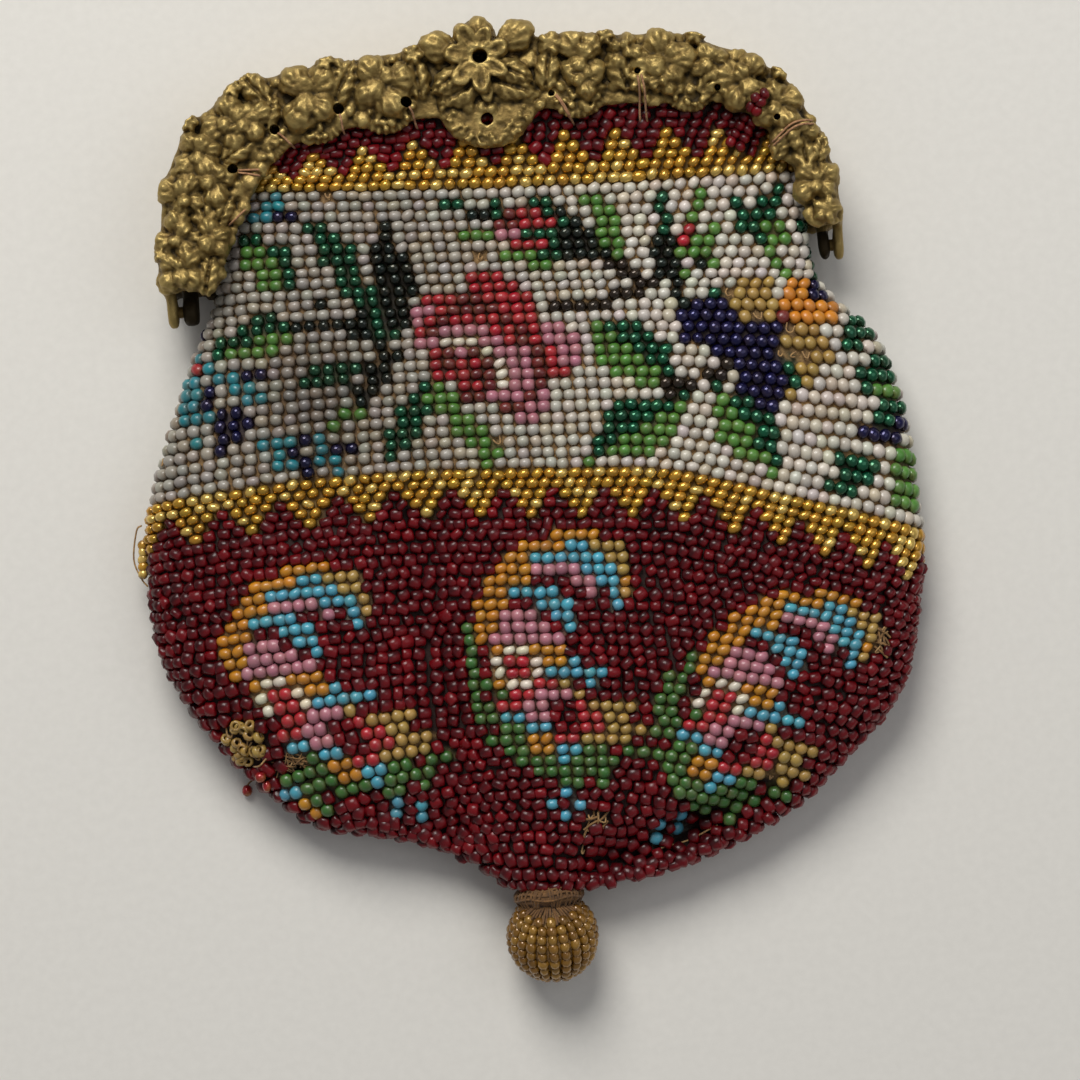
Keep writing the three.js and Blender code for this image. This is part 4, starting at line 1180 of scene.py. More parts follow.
# the bows: a pierced channel of cast brass with flowers and leaves on its face
bow = {
    "arch": {
        "at": list(range(13)),
        "outerX": [-41.9, -41.1, -39.9, -36.2, -28, -15, -1.2, 11.5, 22, 32, 37, 39.6, 40.5],
        "outerY": [28.6, 35, 41.4, 48, 52.6, 54.2, 55.0, 54.5, 53.6, 49.6, 43.5, 36.5, 29.6],
        "innerX": [-35, -32.4, -28.9, -25.5, -20, -11.5, -1, 10, 20, 28.9, 32.2, 35, 36.6],
        "innerY": [28.6, 34.2, 39.9, 43.8, 45.6, 46.2, 46.2, 46, 45.6, 44.9, 41.4, 36.4, 29.6],
    },
    "parting": 6.3, "seam": 0.12, "plateUnder": 4.1, "plateTop": 4.9, "rimThick": 1.3, "soften": 0.5,
    "backRelief": 0.52, "frontVoxel": 0.15, "backVoxel": 0.25, "frontFaces": 180000, "backFaces": 90000,
    "lumps": 0.5, "lumpSize": 1.1, "bandSteps": 150,
    # flowers, then leaves: x, y, size, turn
    "bloom": [
        (-13.6, 52.4, 4.0, 20), (-23.6, 52.0, 4.3, 50), (-33.2, 49.0, 3.7, 10), (-37.2, 45.2, 3.2, 40),
        (-39.2, 39.8, 3.1, 70), (-39.3, 34.9, 2.9, 15), (-39.0, 30.9, 2.8, 55), (11.2, 52.8, 3.4, 35),
        (21, 51.9, 3.8, 5), (31.0, 48.8, 3.4, 60), (34.9, 45, 2.9, 25), (36.7, 41, 2.8, 0),
        (38, 34.6, 2.9, 45), (16.3, 52.6, 2.4, 70), (26.4, 51.0, 2.7, 20), (-34.0, 41.4, 3.0, 0),
        (-34.8, 34.2, 2.7, 25), (11.0, 49.4, 2.3, 0), (20.6, 48.3, 2.2, 15), (-29.2, 48.0, 2.8, 40),
    ],
    "leaf": [
        (-17.6, 51.5, 3.2, 60), (-18.6, 53.4, 2.4, 150), (-28.4, 52.0, 3.0, 130), (-35.4, 37.2, 3.0, 100),
        (-35.6, 30.2, 2.6, 75), (15.4, 50.0, 2.9, 110), (26.4, 48.2, 2.8, 45), (36.4, 37.8, 2.8, 95),
        (-30.6, 44.6, 2.6, 30), (-8.8, 51.4, 2.8, 95), (6.8, 51.0, 2.8, 80), (28.8, 45.9, 2.4, 150),
        (33.9, 39.6, 2.2, 60), (-37.4, 42.6, 2.2, 30), (-26.6, 48.6, 2.4, 70), (38.4, 38.6, 2.0, 70),
        (-33.0, 37.6, 2.2, 60),
    ],
    # buds, then round lobes of the inner edge, then the medallion: x, y, size
    "bud": [
        (-19.4, 54.0, 1.5), (7.4, 53.8, 1.9), (17.6, 48.4, 1.8), (38.3, 31.2, 2.2), (-9.0, 53.9, 1.6),
        (-30.8, 51.9, 1.6), (24.6, 53.2, 1.5), (-38.6, 37.3, 1.4), (14.0, 54.0, 1.4), (-41.0, 32.9, 1.2),
        (34.4, 48.0, 1.3), (-36.2, 48.2, 1.3),
    ],
    "lobe": [(-12.9, 49, 3.9), (-21.1, 48.4, 3.7), (10.1, 48.2, 3.2), (23.4, 47.6, 3.0), (-27.8, 45.6, 2.6)],
    "medallion": (-0.7, 48.3, 6.2),
    # rosette: x, y; its outer petals by angle, reach, form; its inner petals by angle
    "rosette": (-1.2, 52.9), "petal": [20, 72, 118, 168, 222, 270, 322],
    "sepal": [(86, 2.9, "sepalTop"), (26, 4.5, "sepalSide"), (160, 4.5, "sepalSide"),
              (-28, 4.4, "sepalLow"), (212, 4.4, "sepalLow")],
    "heldOut": 0.35, "heldBack": 0.25,
    # sewing holes: x, y, radius; those on the right are nearly filled with thread
    "holes": [
        (-1.1, 53, 0.9), (-0.9, 45.6, 0.75), (-10.3, 48.4, 0.65), (-18.4, 48.4, 0.65), (-26.2, 46.6, 0.6),
        (-31.6, 42.4, 0.6), (7, 48, 0.38), (17.4, 49.6, 0.38), (26.7, 46.8, 0.38), (33.4, 42.6, 0.38),
    ],
    # ears: from x to x, and where the bow ends in y
    "ears": {
        "front": [(-41.3, -40.0, 28.6), (39.2, 40.4, 29.6)],
        "back": [(-39.5, -37.5, 28.6), (37.4, 38.8, 29.6)],
    },
    # an ear is round about its pin, and its neck goes up to the channel: y from the end, z from the parting
    "earRadius": 2.0, "pinBelow": 2.3, "earNeck": [(1.6, 0.1), (1.6, 4.4), (0.2, 4.2), (-0.3, 2.0)],
    "earSteps": 16, "drillSides": 18, "drillTop": 20.0,
    # the sides are smoothed in rounds; wear is read from rounds of smoothing, and the back ears are darker
    "wallRounds": 14, "wallFade": 0.8, "frontWear": 14, "backWear": 9, "wearGain": 1.3,
    "earsBelow": 29.0, "frontEars": 1.0, "backEars": 0.2,
}
archEnd = bow["arch"]["at"][-1]

# forms of the raised work: kind, half length, half width, rise, foot, rings, sectors
reliefForms = {
    "lobe": ("dome", 1, 1, 0.6, 0.8, 9, 28), "lobeGrain": ("dome", 1, 1, 0.7, 0.6, 4, 10),
    "lobeRib": ("dome", 0.95, 0.36, 0.75, 1.4, 6, 14), "pebble": ("dome", 1.2, 1, 1, 0.6, 5, 12),
    "leaf": ("leaf", 1, 0.58, 1.5, 1.4, 14, 66), "bud": ("dome", 0.85, 0.75, 1.9, 1.6, 9, 28),
    "budPetal": ("petal", 0.5, 0.3, 2.1, 1.6, 9, 28), "lowPetal": ("fan", 0.58, 0.6, 1.8, 1.8, 10, 40),
    "topPetal": ("fan", 0.42, 0.48, 1.6, 1.8, 10, 40), "medallion": ("spoon", 1, 1, 0.8, 0.8, 16, 60),
    "medallionGrain": ("dome", 1, 1, 0.5, 0.6, 5, 12), "medallionLeaf": ("leaf", 3.0, 1.9, 1.2, 1.4, 14, 66),
    "medallionTongue": ("spoon", 1.5, 0.85, 1.2, 1.4, 14, 66),
    "sepalTop": ("fan", 2.0, 1.9, 1.4, 2.0, 14, 66), "sepalSide": ("fan", 2.8, 2.2, 1.4, 2.0, 14, 66),
    "sepalLow": ("leaf", 2.5, 1.6, 1.4, 2.0, 14, 66), "rosettePetal": ("spoon", 1.7, 1.2, 1.2, 1.6, 9, 28),
    "rosetteEye": ("spoon", 1.6, 1.6, 1.6, 1.6, 9, 28),
}
relief = {
    "sunk": 0.15,
    "lobeSink": 0.1, "lobeGrains": 30, "lobeFill": 0.92, "lobeGrain": (0.35, 0.6), "lobeRise": 0.3,
    # ribs round the lower edge of a lobe: first angle, end, step
    "ribDeg": (190, 351, 13), "ribRise": 0.05, "ribPitch": -0.12, "ribReach": 0.86,
    # pebbled ground between the flowers, from edge to edge
    "pebbles": 420, "pebbleAcross": (0.06, 0.97), "pebble": (0.45, 1.0), "pebbleHigh": (0.4, 1.0),
    "pebbleTurn": 3,
    "leafRise": 0.1, "budTurn": 40, "budPetals": 5, "budReach": 0.42,
    # petals of a flower, below and on top: form, how many, reach, lift
    "petals": (("lowPetal", 4, 0.50, 0.0), ("topPetal", 2, 0.24, 0.6)),
    "petalLoose": 0.2, "petalGrow": (0.8, 1.14), "petalHigh": (0.85, 1.15), "petalStep": 0.2,
    "petalPitch": 0.14, "bloomInside": 0.85,
    "medallionSink": 0.1, "medallionGrains": 60, "medallionDeg": (200, 340), "medallionAcross": (0.7, 0.92),
    "medallionGrain": (0.25, 0.42), "medallionRise": 0.35,
    # sprays on the medallion: form, angle, reach; they start above its middle
    "sprays": [("medallionLeaf", 205, 3.2), ("medallionLeaf", 338, 3.2), ("medallionTongue", 272, 1.6)],
    "sprayUp": 2.2, "sprayPitch": 0.05,
    "sepalRise": 0.3, "sepalPitch": 0.1, "rosetteRise": 0.9, "rosettePitch": 0.16, "rosetteReach": 2.7,
    "rosetteGrow": (0.85, 1.15), "eyeRise": 0.8,
}


class Heap:
    # gathers closed shells into one mesh
    def __init__(self):
        self.points, self.faces, self.count = [], [], 0

    def add(self, points, faces):
        self.points.append(np.asarray(points, float))
        self.faces += [[i + self.count for i in f] for f in faces]
        self.count += len(points)


def cushion(kind, long, wide, rise, depth, rings, sectors):
    # a closed low form with its tip towards +x: fan or spoon petal, leaf, petal with a groove, dome
    turn = np.arange(sectors) * 2 * math.pi / sectors
    r, a = np.meshgrid(np.linspace(0, 1, rings + 1)[1:], turn, indexing="ij")
    x, y = r * np.cos(a), r * np.sin(a)
    swell = np.sqrt(np.maximum(0, 1 - r ** 2.6))
    if kind == "spoon":
        # hollow within its rim, with a groove along it and fine veins
        z = (0.7 + 0.36 * r ** 2) * np.sqrt(np.maximum(0, 1 - r ** 7))
        z = z - 0.12 * np.exp(-(y / 0.16) ** 2) * (1 - r ** 4)
        z = z + 0.06 * np.cos(16 * y) * (1 - r ** 4)
    elif kind == "fan":
        # ribs spread from behind it, and its edge is scalloped
        spoke = np.arctan2(y, x + 1.3)
        edge = 1 + 0.08 * np.cos(11 * spoke) * r ** 4
        x, y = x * edge, y * edge * (0.8 + 0.3 * x)
        z = swell * (0.86 + 0.22 * x) * (1 + 0.14 * np.cos(22 * spoke) * r)
    elif kind == "leaf":
        # toothed, with a vein and ribs
        teeth = 1 + 0.22 * (np.abs(((a * 11 / (2 * math.pi)) % 1) - 0.5) - 0.25) * r ** 3
        x, y = x * teeth, y * teeth * (1 - 0.5 * np.maximum(0, x) ** 2)
        vein = 0.4 * np.exp(-(y / 0.12) ** 2)
        ribs = 0.17 * np.cos(13 * x - 8 * np.abs(y)) * r * (1 - r ** 6)
        z = swell * (1 - vein) + ribs
    else:
        z = swell * (1 - 0.12 * np.exp(-(y / 0.2) ** 2) * (kind == "petal"))
    top = np.stack([x * long, y * wide, z * rise], -1).reshape(-1, 3)
    foot = top[-sectors:] * (1, 1, 0) - (0, 0, depth)
    points = np.concatenate([[(0, 0, top[:sectors, 2].mean())], top, foot, [(0, 0, -depth)]])
    faces = [(0, 1 + j, 1 + (j + 1) % sectors) for j in range(sectors)]
    for i in range(rings):
        for j in range(sectors):
            k = (j + 1) % sectors
            p, q = 1 + i * sectors, 1 + (i + 1) * sectors
            faces.append((p + j, q + j, q + k, p + k))
    low, end = 1 + rings * sectors, len(points) - 1
    faces += [(end, low + (j + 1) % sectors, low + j) for j in range(sectors)]
    return points, faces


def addForm(heap, name, x, y, z, turn=0.0, size=1.0, high=1.0, pitch=0.0, offset=0.0):
    kind, long, wide, rise, foot, rings, sectors = reliefForms[name]
    points, faces = cushion(kind, long * size, wide * size, rise * high, foot, rings, sectors)
    matrix = np.array(Matrix.Rotation(turn, 3, "Z") @ Matrix.Rotation(-pitch, 3, "Y"))
    heap.add((points + (offset, 0, 0)) @ matrix.T + (x, y, z), faces)


def makeBand(heap):
    steps = bow["bandSteps"]
    at = readTable(bow["arch"], "at", np.linspace(0, archEnd, steps))
    outer = np.stack([at["outerX"], at["outerY"]], -1)
    inward = np.stack([at["innerX"], at["innerY"]], -1) - outer
    width = np.linalg.norm(inward, axis=1)
    inward = inward / width[:, None]
    soft, top, under, rim, seam = (bow[k] for k in ("soften", "plateTop", "plateUnder", "rimThick", "seam"))
    points = []
    for i in range(steps):
        section = [(0, seam), (0, top - soft), (soft, top), (width[i] - soft, top), (width[i], top - soft),
                   (width[i], under), (rim, under), (rim, seam)]
        points += [(*(outer[i] + inward[i] * across), bow["parting"] + z) for across, z in section]
    sides = len(section)
    faces = []
    for i in range(steps - 1):
        for j in range(sides):
            k = (j + 1) % sides
            faces.append((i * sides + j, (i + 1) * sides + j, (i + 1) * sides + k, i * sides + k))
    last = (steps - 1) * sides
    faces += [tuple(range(sides)), tuple(last + j for j in range(sides))[::-1]]
    heap.add(points, faces)


def makeEars(heap, side):
    for x0, x1, end in bow["ears"][side]:
        y0, radius, z0 = end - bow["pinBelow"], bow["earRadius"], bow["parting"]
        turn = np.linspace(math.pi / 2, math.pi * 2, bow["earSteps"])
        shape = [(y0 + radius * math.cos(a), z0 + radius * math.sin(a)) for a in turn]
        shape += [(end + y, z0 + z) for y, z in bow["earNeck"]]
        n = len(shape)
        points = [(x0, y, z) for y, z in shape] + [(x1, y, z) for y, z in shape]
        faces = [tuple(range(n))[::-1], tuple(range(n, 2 * n))]
        faces += [(j, (j + 1) % n, n + (j + 1) % n, n + j) for j in range(n)]
        heap.add(points, faces)


archRead = readTable(bow["arch"], "at", np.linspace(0, archEnd, 2 * bow["bandSteps"]))
archEdge = np.stack([archRead["outerX"], archRead["outerY"]], -1)
archIn = unit(np.stack([archRead["innerX"], archRead["innerY"]], -1) - archEdge)


def depthInside(places):
    # how far places lie within the outer edge of the arch, and the way inwards
    near = ((places[:, None] - archEdge) ** 2).sum(-1).argmin(1)
    return ((places - archEdge[near]) * archIn[near]).sum(-1), archIn[near]


def holdIn(heap, first):
    # relief stands only a little past the edge
    for points in heap.points[first:]:
        depth, inward = depthInside(points[:, :2])
        past = np.maximum(0, -depth - bow["heldOut"])
        points[:, :2] += inward * (past * (1 - bow["heldBack"]))[:, None]


def addLobe(heap, cast, x, y, size, face):
    addForm(heap, "lobe", x, y, face - relief["lobeSink"], 0, size)
    for _ in range(relief["lobeGrains"]):
        a, reach = cast.uniform(0, 2 * math.pi), relief["lobeFill"] * size * math.sqrt(cast.random())
        grain = cast.uniform(*relief["lobeGrain"])
        place = (x + reach * math.cos(a), y + reach * math.sin(a), face + relief["lobeRise"])
        addForm(heap, "lobeGrain", *place, 0, grain)
    for a in np.radians(np.arange(*relief["ribDeg"])):
        addForm(heap, "lobeRib", x, y, face + relief["ribRise"], a,
                pitch=relief["ribPitch"], offset=relief["ribReach"] * size)


def addPebbles(heap, cast, face):
    many = relief["pebbles"]
    at = readTable(bow["arch"], "at", cast.uniform(0, archEnd, many))
    inward = cast.uniform(*relief["pebbleAcross"], many)
    for i in range(many):
        x = at["outerX"][i] + inward[i] * (at["innerX"][i] - at["outerX"][i])
        y = at["outerY"][i] + inward[i] * (at["innerY"][i] - at["outerY"][i])
        grain, high = cast.uniform(*relief["pebble"]), cast.uniform(*relief["pebbleHigh"])
        addForm(heap, "pebble", x, y, face, cast.uniform(0, relief["pebbleTurn"]), grain, high)


def addBud(heap, x, y, size, face):
    addForm(heap, "bud", x, y, face, math.radians(relief["budTurn"]), size)
    for j in range(relief["budPetals"]):
        turn = math.radians(360 / relief["budPetals"] * j)
        addForm(heap, "budPetal", x, y, face, turn, size, offset=size * relief["budReach"])


def addBloom(heap, cast, x, y, size, turn, face):
    # bulky ribbed petals that overlap, with smaller ones on top
    depth, inward = depthInside(np.array([(x, y)]))
    x, y = (x, y) + inward[0] * max(0, relief["bloomInside"] * size - depth[0])
    for name, petals, reach, lift in relief["petals"]:
        for j in range(petals):
            a = turn + lift + 2 * math.pi * j / petals + cast.normal(0, relief["petalLoose"])
            grow = size * cast.uniform(*relief["petalGrow"])
            z = face + lift + relief["petalStep"] * (j % 2)
            addForm(heap, name, x, y, z, a, grow, cast.uniform(*relief["petalHigh"]),
                    relief["petalPitch"], reach * grow)


def addMedallion(heap, cast, face):
    x, y, size = bow["medallion"]
    rise = face + relief["medallionRise"]
    addForm(heap, "medallion", x, y, face - relief["medallionSink"], 0, size)
    for _ in range(relief["medallionGrains"]):
        a = math.radians(cast.uniform(*relief["medallionDeg"]))
        reach = size * cast.uniform(*relief["medallionAcross"])
        grain = cast.uniform(*relief["medallionGrain"])
        addForm(heap, "medallionGrain", x + reach * math.cos(a), y + reach * math.sin(a), rise, 0, grain)
    for name, turn, reach in relief["sprays"]:
        addForm(heap, name, x, y + relief["sprayUp"], rise, math.radians(turn),
                pitch=relief["sprayPitch"], offset=reach)


def addRosette(heap, cast, face):
    x, y = bow["rosette"]
    for turn, reach, name in bow["sepal"]:
        addForm(heap, name, x, y, face + relief["sepalRise"], math.radians(turn),
                pitch=relief["sepalPitch"], offset=reach)
    for turn in bow["petal"]:
        grow = cast.uniform(*relief["rosetteGrow"])
        addForm(heap, "rosettePetal", x, y, face + relief["rosetteRise"], math.radians(turn), grow,
                pitch=relief["rosettePitch"], offset=relief["rosetteReach"] * grow)
    addForm(heap, "rosetteEye", x, y, face + relief["eyeRise"])


def makeRelief(heap):
    cast = np.random.default_rng(12)
    face = bow["parting"] + bow["plateTop"] - relief["sunk"]
    for x, y, size in bow["lobe"]:
        addLobe(heap, cast, x, y, size, face)
    addPebbles(heap, cast, face)
    first = len(heap.points)
    for x, y, size, turn in bow["leaf"]:
        addForm(heap, "leaf", x, y, face + relief["leafRise"], math.radians(turn), size)
    for x, y, size in bow["bud"]:
        addBud(heap, x, y, size, face)
    for x, y, size, turn in bow["bloom"]:
        addBloom(heap, cast, x, y, size, math.radians(turn), face)
    holdIn(heap, first)
    addMedallion(heap, cast, face)
    addRosette(heap, cast, face)


def makeDrill(name):
    # round bars that cut the sewing holes
    drill, sides = Heap(), bow["drillSides"]
    turn = np.arange(sides) * 2 * math.pi / sides
    for x, y, radius in bow["holes"]:
        points = [(x + radius * math.cos(a), y + radius * math.sin(a), z)
                  for z in (bow["parting"], bow["drillTop"]) for a in turn]
        faces = [tuple(range(sides))[::-1], tuple(range(sides, 2 * sides))]
        faces += [(j, (j + 1) % sides, sides + (j + 1) % sides, sides + j) for j in range(sides)]
        drill.add(points, faces)
    return linkObject(name + "Drill", makeMesh(name + "Drill", np.concatenate(drill.points), drill.faces))


def remeshed(heap, name, voxel, target):
    mesh = makeMesh(name, np.concatenate(heap.points), heap.faces)
    thing = linkObject(name, mesh)
    remesh = thing.modifiers.new("fuse", "REMESH")
    remesh.mode, remesh.voxel_size, remesh.use_smooth_shade = "VOXEL", voxel * mm, True
    # the uneven skin of an old casting
    clouds = bpy.data.textures.new("castLumps", "CLOUDS")
    clouds.noise_scale, clouds.noise_depth = bow["lumpSize"] * mm, 2
    skin = thing.modifiers.new("skin", "DISPLACE")
    skin.texture, skin.strength, skin.mid_level = clouds, bow["lumps"] * mm, 0.5
    cutter = makeDrill(name)
    cut = thing.modifiers.new("holes", "BOOLEAN")
    cut.operation, cut.solver, cut.object = "DIFFERENCE", "MANIFOLD", cutter
    fused = plainMesh(thing)
    thing.modifiers.clear()
    thing.data = fused
    count = sum(len(p.vertices) - 2 for p in fused.polygons)
    if count > target:
        thin = thing.modifiers.new("thin", "DECIMATE")
        thin.ratio = target / count
        fused = plainMesh(thing)
        thing.modifiers.clear()
        thing.data = fused
    dropObject(cutter)
    bpy.data.meshes.remove(mesh)
    shadeSmooth(fused)
    fused.name = name
    print(name, count, "triangles fused,", len(fused.polygons), "kept")
    return thing


def relaxed(mesh, rounds):
    # points drawn towards their neighbours, round by round
    smooth = pointsOf(mesh).astype(float)
    count = len(smooth)
    edges = np.empty(len(mesh.edges) * 2, np.int32)
    mesh.edges.foreach_get("vertices", edges)
    a, b = edges.reshape(-1, 2).T
    share = np.bincount(a, minlength=count) + np.bincount(b, minlength=count)
    for _ in range(rounds):
        total = np.stack([np.bincount(a, smooth[b, i], count) + np.bincount(b, smooth[a, i], count)
                          for i in range(3)], -1)
        smooth = total / np.maximum(share, 1)[:, None]
    return smooth


def smoothWalls(mesh):
    # the sides and ears were filed, only the face keeps its lumps
    points, smooth = pointsOf(mesh), relaxed(mesh, bow["wallRounds"])
    top = bow["parting"] + bow["plateTop"]
    share = np.clip((top - points[:, 2]) / bow["wallFade"], 0, 1)[:, None]
    mesh.vertices.foreach_set("co", ((points + share * (smooth - points)) * mm).ravel())
    mesh.update()


def addWear(mesh, rounds, earShade):
    # how far each point stands above its smoothed surroundings: high spots are rubbed bright
    points, smooth = pointsOf(mesh).astype(float), relaxed(mesh, rounds)
    normals = np.empty(len(points) * 3, np.float32)
    mesh.vertices.foreach_get("normal", normals)
    stand = ((points - smooth) * normals.reshape(-1, 3)).sum(1)
    ears = points[:, 1] < bow["earsBelow"]
    wear = np.clip(0.5 + stand * bow["wearGain"], 0, 1) * np.where(ears, earShade, 1.0)
    putAttribute(mesh, "wear", "FLOAT", wear)


brass = {
    "pit": (46, 36, 16), "body": (122, 100, 54), "rubbed": (176, 152, 92), "copper": (128, 88, 56),
    "levels": (0.18, 0.46, 0.85), "rough": (0.66, 0.44), "metallic": 0.72, "plainWear": 0.42,
    "grainScale": 2200.0, "grainRise": 0.5, "grainDepth": 0.00016,
    # stains mottle the wear evenly about nought, and blush the metal in places
    "stainScale": 120.0, "mottle": 0.35, "blushFrom": 0.56, "blushFull": 0.72, "blushGrey": (150, 150, 150),
}


def makeBrass(name, worked):
    material, nodes, links, shader = newMaterial(name)
    coords = addNode(nodes, "ShaderNodeTexCoord")
    stain = addNode(nodes, "ShaderNodeTexNoise", Scale=brass["stainScale"], Detail=5.0, Roughness=0.6)
    grain = addNode(nodes, "ShaderNodeTexNoise", Scale=brass["grainScale"], Detail=3.0)
    for texture in (stain, grain):
        links.new(coords.outputs["Object"], texture.inputs["Vector"])
    mottled = addMath(nodes, links, "MULTIPLY_ADD", stain.outputs["Fac"], brass["mottle"])
    mottled.node.inputs[2].default_value = -brass["mottle"] / 2
    wear = brass["plainWear"]
    if worked:
        wear = addNode(nodes, "ShaderNodeAttribute", {"attribute_name": "wear"}).outputs["Fac"]
    level = addMath(nodes, links, "ADD", mottled, wear, True)
    ramp = addRamp(nodes, list(zip(brass["levels"], (brass["pit"], brass["body"], brass["rubbed"]))))
    links.new(level, ramp.inputs["Fac"])
    blush = addRamp(nodes, [(brass["blushFrom"], (0, 0, 0)), (brass["blushFull"], brass["blushGrey"])])
    links.new(stain.outputs["Color"], blush.inputs["Fac"])
    copper = (*linear(brass["copper"]), 1)
    tinted = addMix(nodes, links, "MIX", blush.outputs["Color"], ramp.outputs["Color"], copper)
    links.new(tinted, shader.inputs["Base Color"])
    rough = addNode(nodes, "ShaderNodeMapRange")
    rough.inputs["To Min"].default_value, rough.inputs["To Max"].default_value = brass["rough"]
    links.new(level, rough.inputs["Value"])
    links.new(rough.outputs["Result"], shader.inputs["Roughness"])
    bump = addNode(nodes, "ShaderNodeBump", Strength=brass["grainRise"], Distance=brass["grainDepth"])
    links.new(grain.outputs["Fac"], bump.inputs["Height"])
    links.new(bump.outputs["Normal"], shader.inputs["Normal"])
    shader.inputs["Metallic"].default_value = brass["metallic"]
    return material


agedBrass, plainBrass = makeBrass("agedBrass", True), makeBrass("plainBrass", False)


def makeBow(side):
    heap = Heap()
    makeBand(heap)
    makeRelief(heap)
    makeEars(heap, side)
    name = side + "Bow"
    thing = remeshed(heap, name, bow[side + "Voxel"], bow[side + "Faces"])
    smoothWalls(thing.data)
    if side == "back":
        mesh = thing.data
        mesh.transform(Matrix.Translation((0, 0, 2 * bow["parting"] * mm)) @ Matrix.Diagonal((1, 1, -1, 1)))
        mesh.flip_normals()
        points = pointsOf(mesh)
        face = bow["parting"] - bow["plateTop"]
        z = points[:, 2]
        points[:, 2] = np.where(z < face, face - bow["backRelief"] * (face - z), z)
        mesh.vertices.foreach_set("co", (points * mm).ravel())
        mesh.update()
    addWear(thing.data, bow[side + "Wear"], bow[side + "Ears"])
    thing.data.materials.clear()
    thing.data.materials.append(agedBrass)
    return finishPiece(thing, [side + "_bow"])


frontBow = makeBow("front")
makeBow("back")

for name in ("left_hinge_pin", "right_hinge_pin", "clasp_knob"):
    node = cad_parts[name]
    node.data.materials.clear()
    node.data.materials.append(plainBrass)

# sewing thread over the front bow, and the loose threads and beads of the worn places
loose = {
    "thread": (188, 142, 100), "shade": (126, 84, 54), "fibreScale": 2200.0, "radius": 0.13,
    # stitches: from a hole of the bow to the beads, x, y
    "stitch": [
        [(7.1, 48.1), (9.19, 44.71)], [(7.4, 48.0), (9.5, 44.2)], [(17.3, 49.3), (17.4, 43.6)],
        [(17.7, 49.4), (18.25, 43.65)], [(-18.6, 48.3), (-17.9, 45.4)], [(-31.8, 42.3), (-28.2, 42.0)],
        [(-31.8, 42.1), (-28.2, 41.3)], [(-32.83, 35.76), (-30.3, 37.5)], [(-10.2, 48.2), (-9.2, 45.4)],
        [(-26.2, 46.4), (-24.0, 44.4)], [(32.33, 39.5), (35.0, 41.6), (38.0, 41.9)],
        [(32.4, 39.1), (35.3, 41.2), (38.1, 41.4)],
    ],
    # steps of a stitch, its sway and how far that runs, the dip of its ends, rounds of pulling taut
    "stitchSteps": 14, "stitchSway": 0.12, "swayEnd": 5, "stitchDip": 0.7, "tautRounds": 12,
    # loose strands of the cloth: points from x, y, height above what lies under it
    "strand": [
        [(-46.9, 1.2, 5.4), (-47.6, 0.6, 5.2), (-48.3, -2.8, 4.6), (-47.6, -5.2, 4.4), (-46.9, -6.2, 4.6)],
        [(-35.0, -30.0, 0.6), (-36.2, -30.6, 0.4), (-37.2, -31.2, 0.6), (-37.5, -31.8, 0.7)],
        [(-38.6, -27.0, 0.8), (-37.6, -28.6, 1.0), (-35.4, -28.9, 0.8), (-34.2, -28.0, 0.4)],
        [(12.0, -43.2, 0.3), (15.5, -42.6, 0.5), (19.0, -41.0, 0.4)],
    ],
    # the knitted loop that held a bead: points by side, out, along, as shares of its span
    "loop": [(0.6, 0, -0.5), (-0.2, 0.2, -0.2), (-0.4, 0.3, 0.3), (0.5, 0, 0.5)],
    "loopSink": 0.6, "loopLow": 0.8, "loopTurn": (0.3, 0.6), "loopSpan": (0.55, 1.0), "loopLoose": 0.1,
    "loopRadius": 0.11, "lowest": 0.25,
    "tornTint": {"thread": (154, 114, 64), "shade": (88, 62, 34), "fibreScale": 2200.0},
    # torn ends: piece, radius, half lengths, then which bare place, how many, heading
    "torn": [("tornFibres", 0.07, (0.5, 1.1), [(0, 60, -0.4)]),
             ("tornThreads", 0.15, (0.6, 1.2), [(2, 8, 1.0), (3, 13, -1.3)])],
    "tornAim": 0.6, "tornLift": (0.05, 0.5), "tornKink": 0.12, "tornArch": 0.2, "tornSides": 5,
    # khaki beads heaped on a bare place: which, how many, how far sunk, lowest, spread in height
    "khakiPlace": 1, "khaki": 24, "khakiSink": 0.5, "khakiLow": 0.7, "khakiHeap": 0.7, "beadHigh": 1.0,
    # loose beads in strings: tint, from x, y, height to x, y, height, how many
    "string": [
        ("Y", (-47.0, -1.2, 5.0), (-47.3, -4.6, 4.6), 5),
        ("R", (-37.5, -32.1, 0.75), (-37.5, -32.1, 0.75), 1),
        ("M", (28.9, 39.7, 0.5), (32.1, 45.4, 0.5), 7), ("M", (27.8, 40.4, 0.5), (31.0, 45.0, 0.5), 6),
        ("R", (-35.2, -30.2, 0.5), (-34.6, -31.4, 0.5), 2),
    ],
    # pieces of loose beads: glass, form, size, how upright the hole stands; khaki ones show their holes
    "kinds": {
        "looseKhaki": ("chalk", "ring", (0.46, 0.7, 0.7), 2.2),
        "looseGarnet": ("garnet", "round", (0.66, 0.62, 0.62), 0.5),
        "looseClear": ("amber", "round", (0.66, 0.62, 0.62), 0.5),
    },
    "outLoose": 0.4, "outUp": 1.2, "sizeLoose": 0.06, "around": 6.28, "rayFrom": 50.0,
}
toss = np.random.default_rng(31)


def surfaceOf(thing):
    points = [v.co for v in thing.data.vertices]
    return BVHTree.FromPolygons(points, [p.vertices for p in thing.data.polygons])


def topOf(surface, x, y):
    hit = surface.ray_cast(Vector((x * mm, y * mm, loose["rayFrom"] * mm)), Vector((0, 0, -1)))[0]
    return hit.z / mm if hit else 0.0


bowTop, clothTop = surfaceOf(frontBow), surfaceOf(knitGround)


def restAt(x, y):
    cloth = topOf(clothTop, x, y)
    return max(topOf(bowTop, x, y), cloth + loose["beadHigh"] if cloth else 0)


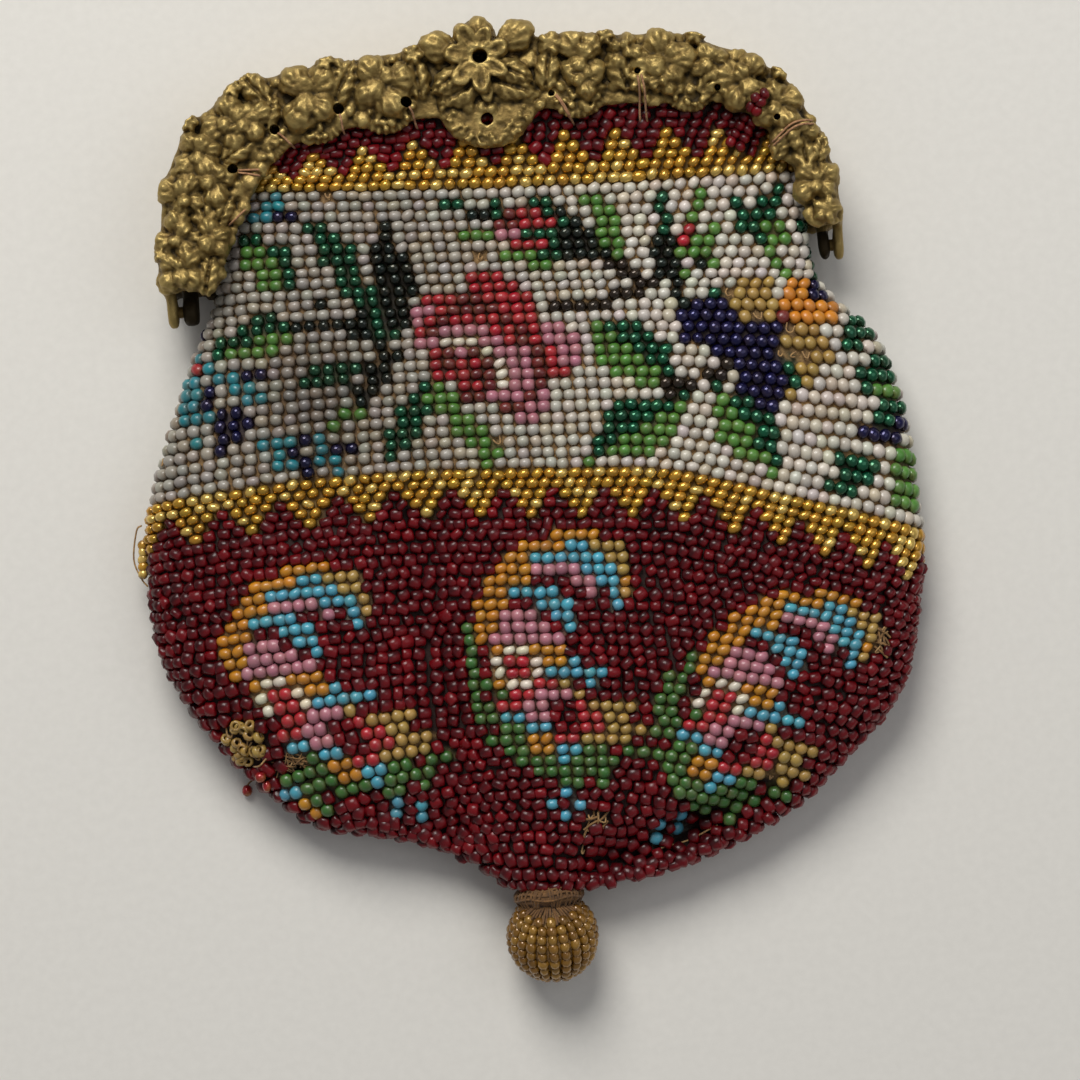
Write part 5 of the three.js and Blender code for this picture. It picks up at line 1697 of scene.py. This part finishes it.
def sewStitches():
    strands = []
    for path in loose["stitch"]:
        x, y, _ = bend([(*place, 0.0) for place in path], loose["stitchSteps"] / (len(path) - 1)).T
        x = x + loose["stitchSway"] * np.sin(np.linspace(0, loose["swayEnd"], len(x)))
        z = np.array([max(restAt(*place), bow["parting"]) for place in zip(x, y)]) + loose["radius"]
        z[0], z[-1] = z[0] - loose["stitchDip"], z[-1] - loose["stitchDip"]
        for _ in range(loose["tautRounds"]):
            z[1:-1] = np.maximum(z[1:-1], (z[:-2] + z[2:]) / 2)
        strands.append(np.stack([x, y, z], -1))
    layThreads("sewingStitches", strands, loose["radius"], makeThreadMaterial("sewingThread", loose))


def layLoops():
    strands = [bend([(x, y, restAt(x, y) + z) for x, y, z in path]) for path in loose["strand"]]
    for at, along, out in lostPlaces:
        side, low = np.cross(out, along), at - loose["loopSink"] * out
        low[2] = max(low[2], loose["loopLow"])
        turn, span = toss.normal(*loose["loopTurn"]), toss.uniform(*loose["loopSpan"])
        c, s = math.cos(turn), math.sin(turn)
        side, along = side * c + along * s, along * c - side * s
        loop = np.array([low + i * side + j * out + k * along for i, j, k in loose["loop"]])
        loop = loop + toss.normal(0, loose["loopLoose"], loop.shape)
        strands.append(low + span * (bend(loop, 3) - low))
    for strand in strands:
        strand[:, 2] = np.maximum(strand[:, 2], loose["lowest"])
    layThreads("bareLoops", strands, loose["loopRadius"], knittedThread)


def layTorn():
    tornYarn = makeThreadMaterial("tornThread", loose["tornTint"])
    for name, radius, spans, ends in loose["torn"]:
        strands = []
        for bare, many, heading in ends:
            x0, y0, long, wide, _ = wornAndShaded["bare"][bare]
            for _ in range(many):
                a, reach = toss.uniform(0, loose["around"]), math.sqrt(toss.random())
                aim = toss.normal(heading, loose["tornAim"])
                x, y = x0 + long * reach * math.cos(a), y0 + wide * reach * math.sin(a)
                span = toss.uniform(*spans)
                lift = topOf(clothTop, x, y) + toss.uniform(*loose["tornLift"])
                path = []
                for k in (-1, 0, 1):
                    kink = toss.normal(0, loose["tornKink"])
                    path.append((x + k * span * math.cos(aim), y + k * span * math.sin(aim) + kink,
                                 lift + loose["tornArch"] * (k == 0)))
                strands.append(bend(path, 4))
        layThreads(name, strands, radius, tornYarn, loose["tornSides"])


def strewBeads():
    places, codes = [], []
    x0, y0, long, wide, _ = wornAndShaded["bare"][loose["khakiPlace"]]
    for _ in range(loose["khaki"]):
        a, reach = toss.uniform(0, loose["around"]), math.sqrt(toss.random())
        x, y = x0 + long * reach * math.cos(a), y0 + wide * reach * math.sin(a)
        z = max(restAt(x, y) - loose["khakiSink"], loose["khakiLow"])
        places.append((x, y, z + toss.uniform(0, loose["khakiHeap"])))
        codes.append("K")
    for code, start, end, many in loose["string"]:
        for t in np.linspace(0, 1, many):
            x, y, z = np.array(start) * (1 - t) + np.array(end) * t
            places.append((x, y, restAt(x, y) + z))
            codes.append(code)
    places, codes = np.array(places), np.array(codes)
    khaki, garnet = codes == "K", codes == "M"
    for (name, kind), mine in zip(loose["kinds"].items(), (khaki, garnet, ~khaki & ~garnet)):
        glass, form, shape, upright = kind
        count = mine.sum()
        along = unit(toss.normal(0, 1, (count, 3)) * (1, 1, upright))
        out = unit(toss.normal(0, loose["outLoose"], (count, 3)) + (0, 0, loose["outUp"]))
        size = np.array([shape]) * (1 + toss.normal(0, loose["sizeLoose"], (count, 3)))
        tint = beadTintsOf(list(codes[mine]))
        piece = stringBeads(name + "Beads", places[mine], along, out, size, tint, form, glasses[glass])
        finishPiece(piece)
        print(name, count, "beads")


sewStitches()
layLoops()
layTorn()
strewBeads()

for thing in formObjects.values():
    dropObject(thing)
